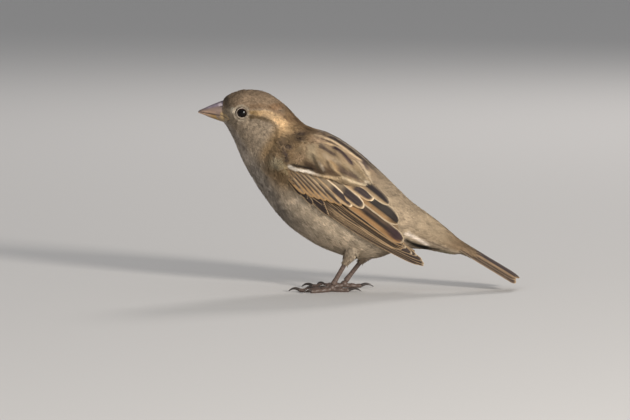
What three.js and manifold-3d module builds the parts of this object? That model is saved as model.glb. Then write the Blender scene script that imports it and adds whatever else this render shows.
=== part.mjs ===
// A life-size female house sparrow standing at rest, as a museum model.
// Millimetres, +Z up. The bird faces -X, so its left side is -Y, and its feet stand on z = 0.
import * as THREE from "three";
import { mergeVertices } from "three/addons/utils/BufferGeometryUtils.js";
import Module from "manifold-3d";

const wasm = await Module();
wasm.setup();

// ---------------------------------------------------------------- driving dimensions
const SEAM = 0.3; // gap between neighbouring pieces
const DEGREE = Math.PI / 180;

// The body's outline, station by station from the bill to the tail: the point on its back and the
// point on its breast, both in the median plane as [x, z], and half its width, with the plumage on.
const STATIONS = [
  { at: "bill base", back: [-56.1, 77.3], breast: [-56.0, 69.6], half: 3.5 },
  { at: "forehead", back: [-54.6, 79.5], breast: [-54.4, 67.4], half: 5.4 },
  { at: "lores", back: [-51.4, 81.2], breast: [-53.4, 65.8], half: 7.5 },
  { at: "eyes", back: [-47.7, 82.3], breast: [-52.2, 63.5], half: 9.1 },
  { at: "crown", back: [-43.2, 82.3], breast: [-50.7, 60.3], half: 10.3 },
  { at: "ear coverts", back: [-38.2, 81.3], breast: [-49.3, 56.8], half: 11.1 },
  { at: "hind crown", back: [-33.7, 78.7], breast: [-47.9, 53.5], half: 11.6 },
  { at: "nape", back: [-29.6, 75.4], breast: [-46.2, 50.2], half: 12.2 },
  { at: "neck", back: [-25.9, 71.5], breast: [-44.0, 46.3], half: 13.2 },
  { at: "hind neck", back: [-22.2, 68.1], breast: [-41.1, 41.6], half: 14.7 },
  { at: "shoulders", back: [-17.7, 66.3], breast: [-37.8, 36.9], half: 16.2 },
  { at: "mantle", back: [-12.4, 64.6], breast: [-33.7, 31.4], half: 17.6 },
  { at: "breast", back: [-6.7, 61.5], breast: [-28.8, 26.2], half: 18.3 },
  { at: "back", back: [-0.9, 57.4], breast: [-23.1, 22.0], half: 18.5 },
  { at: "flanks", back: [4.8, 52.5], breast: [-16.5, 18.0], half: 18.0 },
  { at: "belly", back: [10.6, 47.1], breast: [-9.1, 15.0], half: 16.8 },
  { at: "rump", back: [16.3, 41.4], breast: [-0.9, 12.7], half: 14.8 },
  { at: "vent", back: [22.0, 36.1], breast: [8.1, 13.3], half: 12.4 },
  { at: "upper tail coverts", back: [27.8, 31.8], breast: [16.7, 16.6], half: 10.0 },
  { at: "tail coverts, middle", back: [33.1, 27.7], breast: [24.9, 17.0], half: 8.2 },
  { at: "tail coverts, end", back: [37.6, 23.8], breast: [32.3, 15.8], half: 6.9 },
  { at: "tail root", back: [41.3, 20.6], breast: [38.0, 14.8], half: 6.0 },
  { at: "tail socket", back: [43.8, 18.9], breast: [42.1, 14.9], half: 5.2 },
];
const HEAD_END = 7; // the station where the head meets the neck
const NECK_END = 10; // the station where the neck meets the trunk
const TRUNK_ROLL = 5; // degrees that the back leans to the left, from the shoulders on
const TAIL_ROLL = 9.5; // degrees that the tail leans to the left

const EYE = { x: -47.9, z: 73.3, side: 6.85, radius: 3.2 };

// The bill's profile from tip to gape: x, ridge, cutting edge, underside and half width.
const BILL = [
  { x: -65.9, ridge: 73.55, edge: 73.1, under: 72.75, half: 0.25 },
  { x: -65.2, ridge: 74.0, edge: 73.05, under: 72.6, half: 0.5 },
  { x: -63.2, ridge: 74.85, edge: 72.8, under: 71.8, half: 1.25 },
  { x: -61.2, ridge: 75.8, edge: 72.55, under: 70.95, half: 2.05 },
  { x: -59.1, ridge: 76.65, edge: 72.15, under: 70.2, half: 2.85 },
  { x: -57.0, ridge: 77.5, edge: 71.6, under: 69.5, half: 3.5 },
  { x: -55.2, ridge: 78.1, edge: 70.9, under: 68.9, half: 3.9 },
];
const BILL_GAP = 0.08; // the closed bill's seam

// The folded wing, in a chart of its own: p runs from the bend of the wing to its tip, q across it
// towards the back. The bend's place and the droop of each wing set the chart in the body's frame.
const WING_LENGTH = 72.5;
const WING_BEND = { x: -32.9, z: 52.9 };
const WING_DROOP = { left: 34.9, right: 29 }; // degrees below level
const WING_LOWER = [[-2, 1.5], [4, -2.8], [14, -5.4], [28, -6.3], [48, -4.4], [64, -1.6], [72.5, 0]];
const WING_UPPER = [[-2, 1.9], [3.5, 9.6], [14.8, 15.3], [28, 17.3], [38, 16.2], [49, 12],
  [59.6, 4.0], [67.7, 3.2], [72.5, 0.5]];
// How far the outer face stands from the median plane, and how thick the wing is, along p.
const WING_SIDE = [[-2, 15.6], [15, 20.4], [30, 21.2], [45, 18.9], [60, 14.2], [72.5, 11.0]];
const WING_THICK = [[-2, 2.6], [15, 4.6], [30, 4.6], [45, 3.4], [60, 1.6], [72.5, 0.8]];
const WING_WRAP = { above: 0.033, below: 0.021 }; // how fast the wing curves in, per mm
const WING_WIDEST_Q = 2.5;
// Where the coverts end on the flight feathers, and where the secondaries end on the primaries.
const COVERTS_END = [[-4, 22], [37, 22], [40.5, 13.5], [39.9, 9], [38.4, 4.6], [30.2, 1.1],
  [24.5, -1.3], [28.5, -3.4], [29.3, -9], [-4, -9]];
const PRIMARIES_START = [[26, -9], [27, -4.6], [40, -4.0], [50, -2.4], [60.5, 0.4], [61.4, 1.6],
  [60.5, 12], [80, 12], [80, -9]];

// The tail: six feathers a side, stacked with the middle pair on top.
const TAIL = { tipX: 65.786, tipZ: 3.7, slope: 31.5, shown: 34, feather: 5.6, thick: 0.5, pairs: 6,
  step: 0.2, spread: 0.72, splay: 1.1, notch: 1.6 };

// Legs: the joint where the toes meet, and the lean of the tarsus behind the upright.
const LEGS = {
  left: { x: -11.4, y: -8, lean: 30 },
  right: { x: -6.2, y: 8, lean: 38 },
};
const TARSUS = { length: 19, knuckle: 1.6, thin: 0.95, thick: 1.15, z: 2.0 };
const THIGH = { top: 4.6, bottom: 1.9, length: 9, ankle: 0.62 };
// Toes 1 (hind) to 4 (outer): heading from straight ahead, towards the outer side, and lengths.
const TOES = [
  { heading: 176, toe: 7.2, claw: 5.4 },
  { heading: -27, toe: 8.6, claw: 3.9 },
  { heading: 2, toe: 13.2, claw: 4.7 },
  { heading: 31, toe: 9.8, claw: 3.7 },
];
const TOE_RADIUS = { base: 1.08, end: 0.8 };
const PALM_RADIUS = 4;
const PAD_LENGTH = 3.3; // one pad and its crease along a toe
const CLAW_RADIUS = { base: 0.62, tip: 0.25 };
const SOLE = 0.8; // height of a toe's centreline, as a share of its radius

const MATERIALS = {
  plumage: [0x9a866b, 0.85],
  wing: [0x6f5a43, 0.75],
  tail: [0x6b5a46, 0.75],
  bill: [0x7b6a5c, 0.45],
  eye: [0x120c08, 0.08],
  leg: [0x6d4f42, 0.55],
  claw: [0x2a211d, 0.35],
};

// ---------------------------------------------------------------- shapes
const smooth = (a, b, x) => THREE.MathUtils.smoothstep(x, a, b);

// A closed solid through rings of points, each ring the same length, with flat ends.
function loft(rings) {
  const count = rings[0].length;
  const points = rings.flat();
  const faces = [];
  for (let i = 0; i + 1 < rings.length; i++)
    for (let j = 0; j < count; j++) {
      const a = i * count + j;
      const b = i * count + ((j + 1) % count);
      faces.push(a, b, a + count, b, b + count, a + count);
    }
  for (const end of [0, rings.length - 1]) {
    const middle = rings[end].reduce((sum, p) => sum.add(p), new THREE.Vector3());
    const hub = points.push(middle.divideScalar(count)) - 1;
    for (let j = 0; j < count; j++) {
      const a = end * count + j;
      const b = end * count + ((j + 1) % count);
      faces.push(...(end ? [a, b, hub] : [b, a, hub]));
    }
  }
  return solid(new THREE.BufferGeometry().setFromPoints(points).setIndex(faces));
}

// A three.js geometry as a solid, turned the right way out.
function solid(geometry) {
  const bare = geometry.clone();
  bare.deleteAttribute("normal");
  bare.deleteAttribute("uv");
  const merged = mergeVertices(bare, 1e-4);
  const triVerts = new Uint32Array(merged.index.array);
  const vertProperties = merged.attributes.position.array;
  const made = new wasm.Manifold(new wasm.Mesh({ numProp: 3, vertProperties, triVerts }));
  if (made.volume() > 0) return made;
  for (let i = 0; i < triVerts.length; i += 3)
    [triVerts[i + 1], triVerts[i + 2]] = [triVerts[i + 2], triVerts[i + 1]];
  return new wasm.Manifold(new wasm.Mesh({ numProp: 3, vertProperties, triVerts }));
}

// A round tube along a three.js curve, its radius a function of the share of the way along.
function tube(curve, radius, steps, sides, squash = 1) {
  const rings = [];
  for (let i = 0; i <= steps; i++) {
    const share = i / steps;
    const middle = curve.getPoint(share);
    const along = curve.getTangent(share);
    const across = new THREE.Vector3(0, 0, 1).cross(along);
    if (across.length() < 1e-3) across.set(0, 1, 0);
    across.normalize();
    const up = along.clone().cross(across);
    const ring = [];
    for (let j = 0; j < sides; j++) {
      const angle = ((j + 0.5) / sides) * 2 * Math.PI;
      const reach = radius(share);
      ring.push(
        middle
          .clone()
          .addScaledVector(across, squash * reach * Math.cos(angle))
          .addScaledVector(up, reach * Math.sin(angle)),
      );
    }
    rings.push(ring);
  }
  return loft(rings);
}

// A smooth function through [x, y] pairs.
function profile(pairs) {
  return (x) => {
    let i = 0;
    while (i < pairs.length - 2 && x > pairs[i + 1][0]) i++;
    const [x1, y1] = pairs[i];
    const [x2, y2] = pairs[i + 1];
    const before = pairs[Math.max(i - 1, 0)];
    const after = pairs[Math.min(i + 2, pairs.length - 1)];
    const span = x2 - x1;
    const share = THREE.MathUtils.clamp((x - x1) / span, 0, 1);
    const m1 = ((y2 - before[1]) / (x2 - before[0])) * span;
    const m2 = ((after[1] - y1) / (after[0] - x1)) * span;
    const s2 = share * share;
    const s3 = s2 * share;
    return (2 * s3 - 3 * s2 + 1) * y1 + (s3 - 2 * s2 + share) * m1 + (3 * s2 - 2 * s3) * y2 +
      (s3 - s2) * m2;
  };
}

// ---------------------------------------------------------------- body
const backLine = stationCurve((s) => [s.back[0], 0, s.back[1]]);
const breastLine = stationCurve((s) => [s.breast[0], 0, s.breast[1]]);
const halfWidths = stationCurve((s) => [s.half, 0, 0]);

function stationCurve(pick) {
  const points = STATIONS.map((s) => new THREE.Vector3(...pick(s)));
  return new THREE.CatmullRomCurve3(points, false, "catmullrom", 0.5);
}

function roll(station) {
  const trunk = TRUNK_ROLL * smooth(HEAD_END, NECK_END + 2, station);
  const tail = (TAIL_ROLL - TRUNK_ROLL) * smooth(16, STATIONS.length - 2, station);
  return (trunk + tail) * DEGREE;
}

// The ring of the body at a station, which may be fractional, grown outwards by some mm.
function bodyRing(station, sides, grow = 0, shift = 0) {
  const share = station / (STATIONS.length - 1);
  const back = backLine.getPoint(share);
  const breast = breastLine.getPoint(share);
  const half = halfWidths.getPoint(share).x + grow;
  const up = back.clone().sub(breast);
  const height = up.length() / 2 + grow;
  const middle = back.clone().add(breast).multiplyScalar(0.5);
  up.normalize();
  middle.addScaledVector(new THREE.Vector3(up.z, 0, -up.x), shift);
  const lean = roll(station);
  return Array.from({ length: sides }, (_, j) => {
    const angle = (j / sides) * 2 * Math.PI;
    const side = half * Math.sin(angle);
    const rise = height * Math.cos(angle);
    const y = side * Math.cos(lean) - rise * Math.sin(lean);
    const climb = side * Math.sin(lean) + rise * Math.cos(lean);
    return middle.clone().addScaledVector(up, climb).setY(y);
  });
}

function bodyPiece(from, to, steps, sides, grow = 0) {
  const rings = [];
  for (let i = 0; i <= steps; i++) {
    const shift = grow * ((i === steps) - (i === 0));
    rings.push(bodyRing(THREE.MathUtils.lerp(from, to, i / steps), sides, grow, shift));
  }
  return loft(rings);
}

const last = STATIONS.length - 1;
const wholeBody = bodyPiece(0, last, 30, 28, SEAM);
const seamShare = 0.045; // half a seam, in stations, at the head and neck

function makeHead() {
  let head = bodyPiece(0, HEAD_END - seamShare, 14, 28);
  for (const side of [-1, 1]) head = head.subtract(eyeBall(side, SEAM));
  return head;
}

function eyeBall(side, grow = 0) {
  const ball = new THREE.SphereGeometry(EYE.radius + grow, 13, 9);
  ball.translate(EYE.x, side * EYE.side, EYE.z);
  return solid(ball);
}

// ---------------------------------------------------------------- bill
function billRow(x, key) {
  return profile(BILL.map((row) => [row.x, row[key]]))(x);
}

// One mandible: an arch from the cutting edge to the ridge, or to the underside.
function mandible(key, narrowing) {
  const steps = 9;
  const arch = 8;
  const flat = 3;
  const rings = [];
  for (let i = 0; i <= steps; i++) {
    const x = THREE.MathUtils.lerp(BILL[0].x, BILL.at(-1).x, (i / steps) ** 0.9);
    const sign = key === "ridge" ? 1 : -1;
    const edge = billRow(x, "edge") + sign * BILL_GAP;
    const crest = billRow(x, key);
    const half = billRow(x, "half") * narrowing;
    const ring = [];
    for (let j = 0; j <= arch; j++) {
      const angle = (j / arch) * Math.PI;
      const height = Math.sin(angle) ** 0.85;
      ring.push(new THREE.Vector3(x, half * Math.cos(angle), edge + (crest - edge) * height));
    }
    for (let j = 1; j < flat; j++)
      ring.push(new THREE.Vector3(x, half * (2 * (j / flat) - 1), edge));
    rings.push(ring);
  }
  return loft(rings).subtract(wholeBody);
}

// ---------------------------------------------------------------- wings
const wingLower = profile(WING_LOWER);
const wingUpper = profile(WING_UPPER);
const wingSide = profile(WING_SIDE);
const wingThick = profile(WING_THICK);

function chartMatrix(droop) {
  const c = Math.cos(droop * DEGREE);
  const s = Math.sin(droop * DEGREE);
  const matrix = new THREE.Matrix4().makeBasis(
    new THREE.Vector3(c, 0, -s),
    new THREE.Vector3(s, 0, c),
    new THREE.Vector3(0, -1, 0),
  );
  return matrix.setPosition(WING_BEND.x, 0, WING_BEND.z);
}

// The folded wing as one curved plate, in chart coordinates p, q and out.
function wingPlate() {
  const steps = 18;
  const across = 6;
  const rings = [];
  for (let i = 0; i <= steps; i++) {
    const p = THREE.MathUtils.lerp(WING_LOWER[0][0], WING_LENGTH, i / steps);
    const outer = [];
    const inner = [];
    for (let j = 0; j <= across; j++) {
      const share = j / across;
      const q = THREE.MathUtils.lerp(wingLower(p), wingUpper(p), share);
      const wrap = q > WING_WIDEST_Q ? WING_WRAP.above : WING_WRAP.below;
      const flattening = 1 - 0.7 * smooth(40, WING_LENGTH, p);
      const out = wingSide(p) - wrap * flattening * (q - WING_WIDEST_Q) ** 2;
      const edge = 1 - 0.55 * (2 * share - 1) ** 6;
      outer.push(new THREE.Vector3(p, q, out));
      inner.unshift(new THREE.Vector3(p, q, out - wingThick(p) * edge));
    }
    rings.push([...outer, ...inner]);
  }
  return rings;
}

function prism(outline, grow) {
  const shape = new THREE.Shape(outline.map(([p, q]) => new THREE.Vector2(p + grow, q)));
  return new THREE.ExtrudeGeometry(shape, { depth: 60, bevelEnabled: false });
}

function makeWing(side) {
  const chart = chartMatrix(WING_DROOP[side]);
  const place = (made) => {
    const set = made.transform(chart.toArray());
    return side === "left" ? set : set.mirror([0, 1, 0]);
  };
  const plate = loft(wingPlate());
  const coverts = plate.intersect(solid(prism(COVERTS_END, 0)));
  const flight = plate.subtract(solid(prism(COVERTS_END, SEAM)));
  const primaries = flight.intersect(solid(prism(PRIMARIES_START, SEAM)));
  const secondaries = flight.subtract(solid(prism(PRIMARIES_START, 0)));
  const pieces = { coverts, secondaries, primaries };
  for (const [name, made] of Object.entries(pieces))
    pieces[name] = largest(place(made).subtract(wholeBody));
  return pieces;
}

function largest(made) {
  return made.decompose().reduce((a, b) => (a.volume() > b.volume() ? a : b));
}

// ---------------------------------------------------------------- tail
// One tail feather: a thin blade with a rounded end, in tail coordinates along, across and up.
function tailBlade(pair, side) {
  const reach = TAIL.notch * smooth(0, TAIL.pairs - 1, pair);
  const end = TAIL.shown - TAIL.notch + reach;
  const half = TAIL.feather / 2;
  const shape = new THREE.Shape();
  shape.moveTo(0, -half * 0.8);
  shape.lineTo(end - 3, -half);
  shape.quadraticCurveTo(end, -half, end, -half * 0.1);
  shape.quadraticCurveTo(end, half * 0.9, end - 3, half);
  shape.lineTo(0, half * 0.8);
  const blade = new THREE.ExtrudeGeometry(shape, {
    depth: TAIL.thick,
    bevelEnabled: false,
    curveSegments: 3,
  });
  const splay = (pair / (TAIL.pairs - 1)) * TAIL.splay * side;
  blade.rotateZ(splay * DEGREE);
  blade.translate(0, side * (0.35 + pair * TAIL.spread), -pair * TAIL.step);
  return solid(blade);
}

function makeTail() {
  const blades = [];
  for (let pair = 0; pair < TAIL.pairs; pair++)
    for (const side of [-1, 1]) blades.push(tailBlade(pair, side));
  const c = Math.cos(TAIL.slope * DEGREE);
  const s = Math.sin(TAIL.slope * DEGREE);
  const chart = new THREE.Matrix4().makeBasis(
    new THREE.Vector3(c, 0, -s),
    new THREE.Vector3(0, 1, 0),
    new THREE.Vector3(s, 0, c),
  );
  chart.setPosition(TAIL.tipX - TAIL.shown * c, 0, TAIL.tipZ + TAIL.shown * s);
  chart.multiply(new THREE.Matrix4().makeRotationX(TAIL_ROLL * DEGREE));
  const fan = blades.reduce((sum, blade) => sum.add(blade));
  return largest(fan.transform(chart.toArray()).subtract(wholeBody));
}

// ---------------------------------------------------------------- legs
const FLOOR_CUT = solid(new THREE.BoxGeometry(400, 400, 100).translate(0, 0, -50));

// A leg's frame: the joint of the toes, and the axis of its tarsus.
function legFrame(name) {
  const leg = LEGS[name];
  const joint = new THREE.Vector3(leg.x, leg.y, TARSUS.z);
  const axis = new THREE.Vector3(Math.sin(leg.lean * DEGREE), 0, Math.cos(leg.lean * DEGREE));
  return { joint, axis, outer: Math.sign(leg.y) };
}

function toeCurve(frame, toe, from, to) {
  const heading = toe.heading * DEGREE;
  const ahead = new THREE.Vector3(-Math.cos(heading), frame.outer * Math.sin(heading), 0);
  const at = (distance) =>
    frame.joint
      .clone()
      .addScaledVector(ahead, distance)
      .setZ(SOLE * toeRadius(toe, distance / toe.toe) + 0.35 * (1 - smooth(0, 3, distance)));
  return { curve: new THREE.LineCurve3(at(from), at(to)), ahead, at };
}

function toeRadius(toe, share) {
  const plain = THREE.MathUtils.lerp(TOE_RADIUS.base, TOE_RADIUS.end, share);
  return plain * (1 + 0.09 * Math.cos((share * toe.toe * 2 * Math.PI) / PAD_LENGTH));
}

function toeTube(frame, toe) {
  const { at } = toeCurve(frame, toe, 0, toe.toe);
  const steps = Math.round((2 * toe.toe) / PAD_LENGTH);
  const points = Array.from({ length: steps + 1 }, (_, i) => at((i / steps) * toe.toe));
  const curve = new THREE.CatmullRomCurve3(points);
  const radius = (share) => toeRadius(toe, share) * (1 - 0.25 * smooth(0.9, 1, share));
  return tube(curve, radius, steps, 8).subtract(FLOOR_CUT);
}

function palmCutter(frame, radius) {
  const disc = new THREE.CylinderGeometry(radius, radius, 20, 16);
  disc.rotateX(Math.PI / 2);
  disc.translate(frame.joint.x, frame.joint.y, 0);
  return solid(disc);
}

function makePalm(frame) {
  const knuckle = new THREE.SphereGeometry(TARSUS.knuckle, 8, 6);
  knuckle.translate(frame.joint.x, frame.joint.y, TARSUS.z - 0.5);
  let palm = solid(knuckle);
  for (const toe of TOES) palm = palm.add(toeTube(frame, toe));
  return palm.intersect(palmCutter(frame, PALM_RADIUS)).subtract(FLOOR_CUT);
}

function makeClaw(frame, toe) {
  const { ahead, at } = toeCurve(frame, toe, 0, 1);
  const start = at(toe.toe + SEAM);
  const height = (z, distance) => start.clone().addScaledVector(ahead, distance).setZ(z);
  const arc = new THREE.QuadraticBezierCurve3(
    height(0.78, 0),
    height(2.3, toe.claw * 0.5),
    height(0.4, toe.claw * 0.92),
  );
  const radius = (share) =>
    THREE.MathUtils.lerp(CLAW_RADIUS.base, CLAW_RADIUS.tip, share ** 0.8);
  return tube(arc, radius, 5, 6);
}

function makeThigh(frame) {
  const low = frame.joint.clone().addScaledVector(frame.axis, TARSUS.length * THIGH.ankle);
  const high = low.clone().addScaledVector(frame.axis, THIGH.length);
  const radius = (share) => THREE.MathUtils.lerp(THIGH.bottom, THIGH.top, share ** 0.7);
  const cuff = tube(new THREE.LineCurve3(low, high), radius, 4, 12);
  return largest(cuff.subtract(wholeBody));
}

function makeTarsus(frame) {
  const low = frame.joint.clone().addScaledVector(frame.axis, TARSUS.knuckle + SEAM + 0.1);
  const reach = TARSUS.length * THIGH.ankle - SEAM;
  const high = frame.joint.clone().addScaledVector(frame.axis, reach);
  const radius = (share) =>
    THREE.MathUtils.lerp(TARSUS.thick, TARSUS.thin, smooth(0, 0.3, share));
  return tube(new THREE.LineCurve3(low, high), radius, 6, 10, 0.82);
}

// ---------------------------------------------------------------- assembly
const bird = new THREE.Group();

function addPiece(name, made, finish) {
  const mesh = made.getMesh();
  const stride = mesh.numProp;
  const points = new Float32Array(mesh.numVert * 3);
  for (let i = 0; i < mesh.numVert; i++)
    points.set(mesh.vertProperties.subarray(i * stride, i * stride + 3), i * 3);
  const geometry = new THREE.BufferGeometry();
  geometry.setAttribute("position", new THREE.BufferAttribute(points, 3));
  geometry.setIndex(new THREE.BufferAttribute(new Uint32Array(mesh.triVerts), 1));
  geometry.computeVertexNormals();
  const [color, roughness] = MATERIALS[finish];
  const material = new THREE.MeshStandardMaterial({ color, roughness, metalness: 0 });
  const piece = new THREE.Mesh(geometry, material);
  piece.name = name;
  bird.add(piece);
}

addPiece("head", makeHead(), "plumage");
addPiece("neck", bodyPiece(HEAD_END + seamShare, NECK_END - seamShare, 6, 28), "plumage");
addPiece("trunk", bodyPiece(NECK_END + seamShare, last, 19, 28), "plumage");
addPiece("bill_upper", mandible("ridge", 1), "bill");
addPiece("bill_lower", mandible("under", 0.93), "bill");
addPiece("eye_left", eyeBall(-1), "eye");
addPiece("eye_right", eyeBall(1), "eye");
addPiece("tail", makeTail(), "tail");

for (const side of ["left", "right"]) {
  const wing = makeWing(side);
  for (const part of ["coverts", "secondaries", "primaries"])
    addPiece(`wing_${side}_${part}`, wing[part], "wing");
  const frame = legFrame(side);
  addPiece(`thigh_${side}`, makeThigh(frame), "plumage");
  addPiece(`tarsus_${side}`, makeTarsus(frame), "leg");
  addPiece(`foot_${side}`, makePalm(frame), "leg");
  TOES.forEach((toe, i) => {
    const rest = toeTube(frame, toe).subtract(palmCutter(frame, PALM_RADIUS + SEAM));
    addPiece(`toe_${side}_${i + 1}`, rest, "leg");
    addPiece(`claw_${side}_${i + 1}`, makeClaw(frame, toe), "claw");
  });
}

export default bird;
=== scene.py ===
"""A female house sparrow: skin, plumage, bill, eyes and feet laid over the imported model.

Sizes inside the script are millimetres in the model's own frame: the bird faces -X, its left side
is -Y, and its feet stand on z = 0. A place on the body is a station s, counted from the bill to
the tail, and an angle a round the body, 0 on the back and positive to the bird's right. A place
on a folded wing is p, along it from the bend, and q, across it towards the back.
"""

import math

import bpy
import numpy as np
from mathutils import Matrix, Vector


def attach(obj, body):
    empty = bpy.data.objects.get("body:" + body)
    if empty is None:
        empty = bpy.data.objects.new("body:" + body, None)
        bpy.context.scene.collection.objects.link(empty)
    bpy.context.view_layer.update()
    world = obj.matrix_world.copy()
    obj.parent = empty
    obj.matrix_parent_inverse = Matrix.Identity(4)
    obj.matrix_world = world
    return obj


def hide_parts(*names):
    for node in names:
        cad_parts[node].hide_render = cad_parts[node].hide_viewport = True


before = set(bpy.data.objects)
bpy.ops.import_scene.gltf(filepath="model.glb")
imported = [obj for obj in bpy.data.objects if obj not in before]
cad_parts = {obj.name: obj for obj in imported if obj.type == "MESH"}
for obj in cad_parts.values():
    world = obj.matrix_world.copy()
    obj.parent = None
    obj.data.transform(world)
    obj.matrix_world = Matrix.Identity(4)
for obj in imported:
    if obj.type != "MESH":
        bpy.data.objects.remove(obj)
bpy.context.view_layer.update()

MM = 0.001
LIFT = math.radians(5.0)  # how far above level the camera looks from
BOTH = (("left", False), ("right", True))  # each side's name, and whether it is the right one

# ---- small helpers


def smooth(low, high, x):
    t = np.clip((np.asarray(x, float) - low) / (high - low), 0.0, 1.0)
    return t * t * (3.0 - 2.0 * t)


def mix(first, second, weight):
    weight = np.asarray(weight, float)[..., None]
    return np.asarray(first, float) * (1.0 - weight) + np.asarray(second, float) * weight


def paint(tint, *coats):
    """A tint with colours laid over it in turn, each with its own weight."""
    for colour, weight in coats:
        tint = mix(tint, colour, weight)
    return tint


def bell(x, middle, width):
    return np.exp(-(((x - middle) / width) ** 2))


def seen_height(y, z):
    """The height at which the side view shows a point on either side."""
    return z * math.cos(LIFT) - np.abs(y) * math.sin(LIFT)


def curve(here, m1, after, m2, t):
    """The cubic from one value to the next, with a slope at each."""
    t2, t3 = t * t, t * t * t
    return (
        (2 * t3 - 3 * t2 + 1) * here + (t3 - 2 * t2 + t) * m1
        + (3 * t2 - 2 * t3) * after + (t3 - t2) * m2
    )


def spline(table, s):
    """The rows of a table, joined by a smooth curve that passes row n at s = n."""
    table = np.asarray(table, float)
    ends = np.vstack([2 * table[0] - table[1], table, 2 * table[-1] - table[-2]])
    s = np.clip(s, 0.0, len(table) - 1.000001)
    i = np.floor(s).astype(int)
    before, here, after, beyond = ends[i], ends[i + 1], ends[i + 2], ends[i + 3]
    return curve(here, (after - before) / 2, after, (beyond - here) / 2, (s - i)[..., None])


def profile(pairs, x):
    """A smooth function through [x, y] pairs."""
    xs, ys = np.asarray(pairs, float).T
    x = np.asarray(x, float)
    i = np.clip(np.searchsorted(xs, x, side="left") - 1, 0, len(xs) - 2)
    b, n = np.maximum(i - 1, 0), np.minimum(i + 2, len(xs) - 1)
    span = xs[i + 1] - xs[i]
    t = np.clip((x - xs[i]) / span, 0.0, 1.0)
    m1 = (ys[i + 1] - ys[b]) / (xs[i + 1] - xs[b]) * span
    m2 = (ys[n] - ys[i]) / (xs[n] - xs[i]) * span
    return curve(ys[i], m1, ys[i + 1], m2, t)


def to_line(x, z, line):
    """Distance from points to a polyline, and the share of the way along it."""
    line = np.asarray(line, float)
    best = np.full(np.shape(x), 1e9)
    share = np.zeros(np.shape(x))
    count = len(line) - 1
    for k in range(count):
        (ax, az), (bx, bz) = line[k], line[k + 1]
        dx, dz = bx - ax, bz - az
        t = np.clip(((x - ax) * dx + (z - az) * dz) / (dx * dx + dz * dz), 0, 1)
        d = np.hypot(x - ax - t * dx, z - az - t * dz)
        closer = d < best
        best = np.where(closer, d, best)
        share = np.where(closer, (k + t) / count, share)
    return best, share


def stroke(x, z, line, outer, inner):
    """The weight of a soft mark along a polyline."""
    return smooth(outer, inner, to_line(x, z, line)[0])


def spot(x, z, middle, radii, outer, inner):
    """The weight of a soft oval mark."""
    return smooth(outer, inner, np.hypot((x - middle[0]) / radii[0], (z - middle[1]) / radii[1]))


def draw(tint, x, z, lines, outer, inner, share=1.0):
    """Soft strokes over a tint: for each its line, half width, colour and strength."""
    for line, width, colour, strength in lines:
        weight = stroke(x, z, line, width * outer, width * inner)
        tint = mix(tint, colour, weight * strength * share)
    return tint


def wave_noise(x, y, z, scale, seed):
    """Smooth noise from -1 to 1, as a sum of waves in fixed directions."""
    made = np.random.default_rng(seed)
    total = np.zeros(np.shape(x))
    for _ in range(6):
        way = made.normal(size=3)
        way *= made.uniform(0.7, 1.5) / np.linalg.norm(way) / scale
        total = total + np.sin(way[0] * x + way[1] * y + way[2] * z + made.uniform(0, 6.28))
    return total / 6 * 1.6


# ---- body form

# back x, z; breast x, z; half width
STATIONS = np.array([
    (-56.1, 77.3, -56.0, 69.6, 3.5), (-54.6, 79.5, -54.4, 67.4, 5.4),
    (-51.4, 81.2, -53.4, 65.8, 7.5), (-47.7, 82.3, -52.2, 63.5, 9.1),
    (-43.2, 82.3, -50.7, 60.3, 10.3), (-38.2, 81.3, -49.3, 56.8, 11.1),
    (-33.7, 78.7, -47.9, 53.5, 11.6), (-29.6, 75.4, -46.2, 50.2, 12.2),
    (-25.9, 71.5, -44.0, 46.3, 13.2), (-22.2, 68.1, -41.1, 41.6, 14.7),
    (-17.7, 66.3, -37.8, 36.9, 16.2), (-12.4, 64.6, -33.7, 31.4, 17.6),
    (-6.7, 61.5, -28.8, 26.2, 18.3), (-0.9, 57.4, -23.1, 22.0, 18.5),
    (4.8, 52.5, -16.5, 18.0, 18.0), (10.6, 47.1, -9.1, 15.0, 16.8),
    (16.3, 41.4, -0.9, 12.7, 14.8), (22.0, 36.1, 8.1, 13.3, 12.4),
    (27.8, 31.8, 16.7, 16.6, 10.0), (33.1, 27.7, 24.9, 17.0, 8.2),
    (37.6, 23.8, 32.3, 15.8, 6.9), (41.3, 20.6, 38.0, 14.8, 6.0),
    (43.8, 18.9, 42.1, 14.9, 5.4), (48.2, 15.9, 47.0, 12.7, 5.6),
    (53.0, 12.8, 52.0, 10.0, 5.9),
])
BODY_END = len(STATIONS) - 1.001
TRUNK_ROLL = 5.0
TAIL_ROLL = 9.5


def roll(s):
    trunk = TRUNK_ROLL * smooth(7, 12, s)
    tail = (TAIL_ROLL - TRUNK_ROLL) * smooth(16, 21, s)
    return np.radians(trunk + tail)


def body(s, a, depth=0.0):
    """Points on the body, some depth under the feather tips."""
    s, a = np.asarray(s, float), np.asarray(a, float)
    row = spline(STATIONS, s)
    back, breast = row[..., 0:2], row[..., 2:4]
    middle = (back + breast) / 2
    up = back - breast
    length = np.linalg.norm(up, axis=-1)
    up = up / length[..., None]
    lean = roll(s)
    side = (row[..., 4] - depth) * np.sin(a)
    rise = (length / 2 - depth) * np.cos(a)
    y = side * np.cos(lean) - rise * np.sin(lean)
    climb = side * np.sin(lean) + rise * np.cos(lean)
    x = middle[..., 0] + up[..., 0] * climb
    z = middle[..., 1] + up[..., 1] * climb
    return np.stack([x, y, z], -1)


BODY_S = np.linspace(0, 22, 441)
BODY_ROWS = spline(STATIONS, BODY_S)


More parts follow.
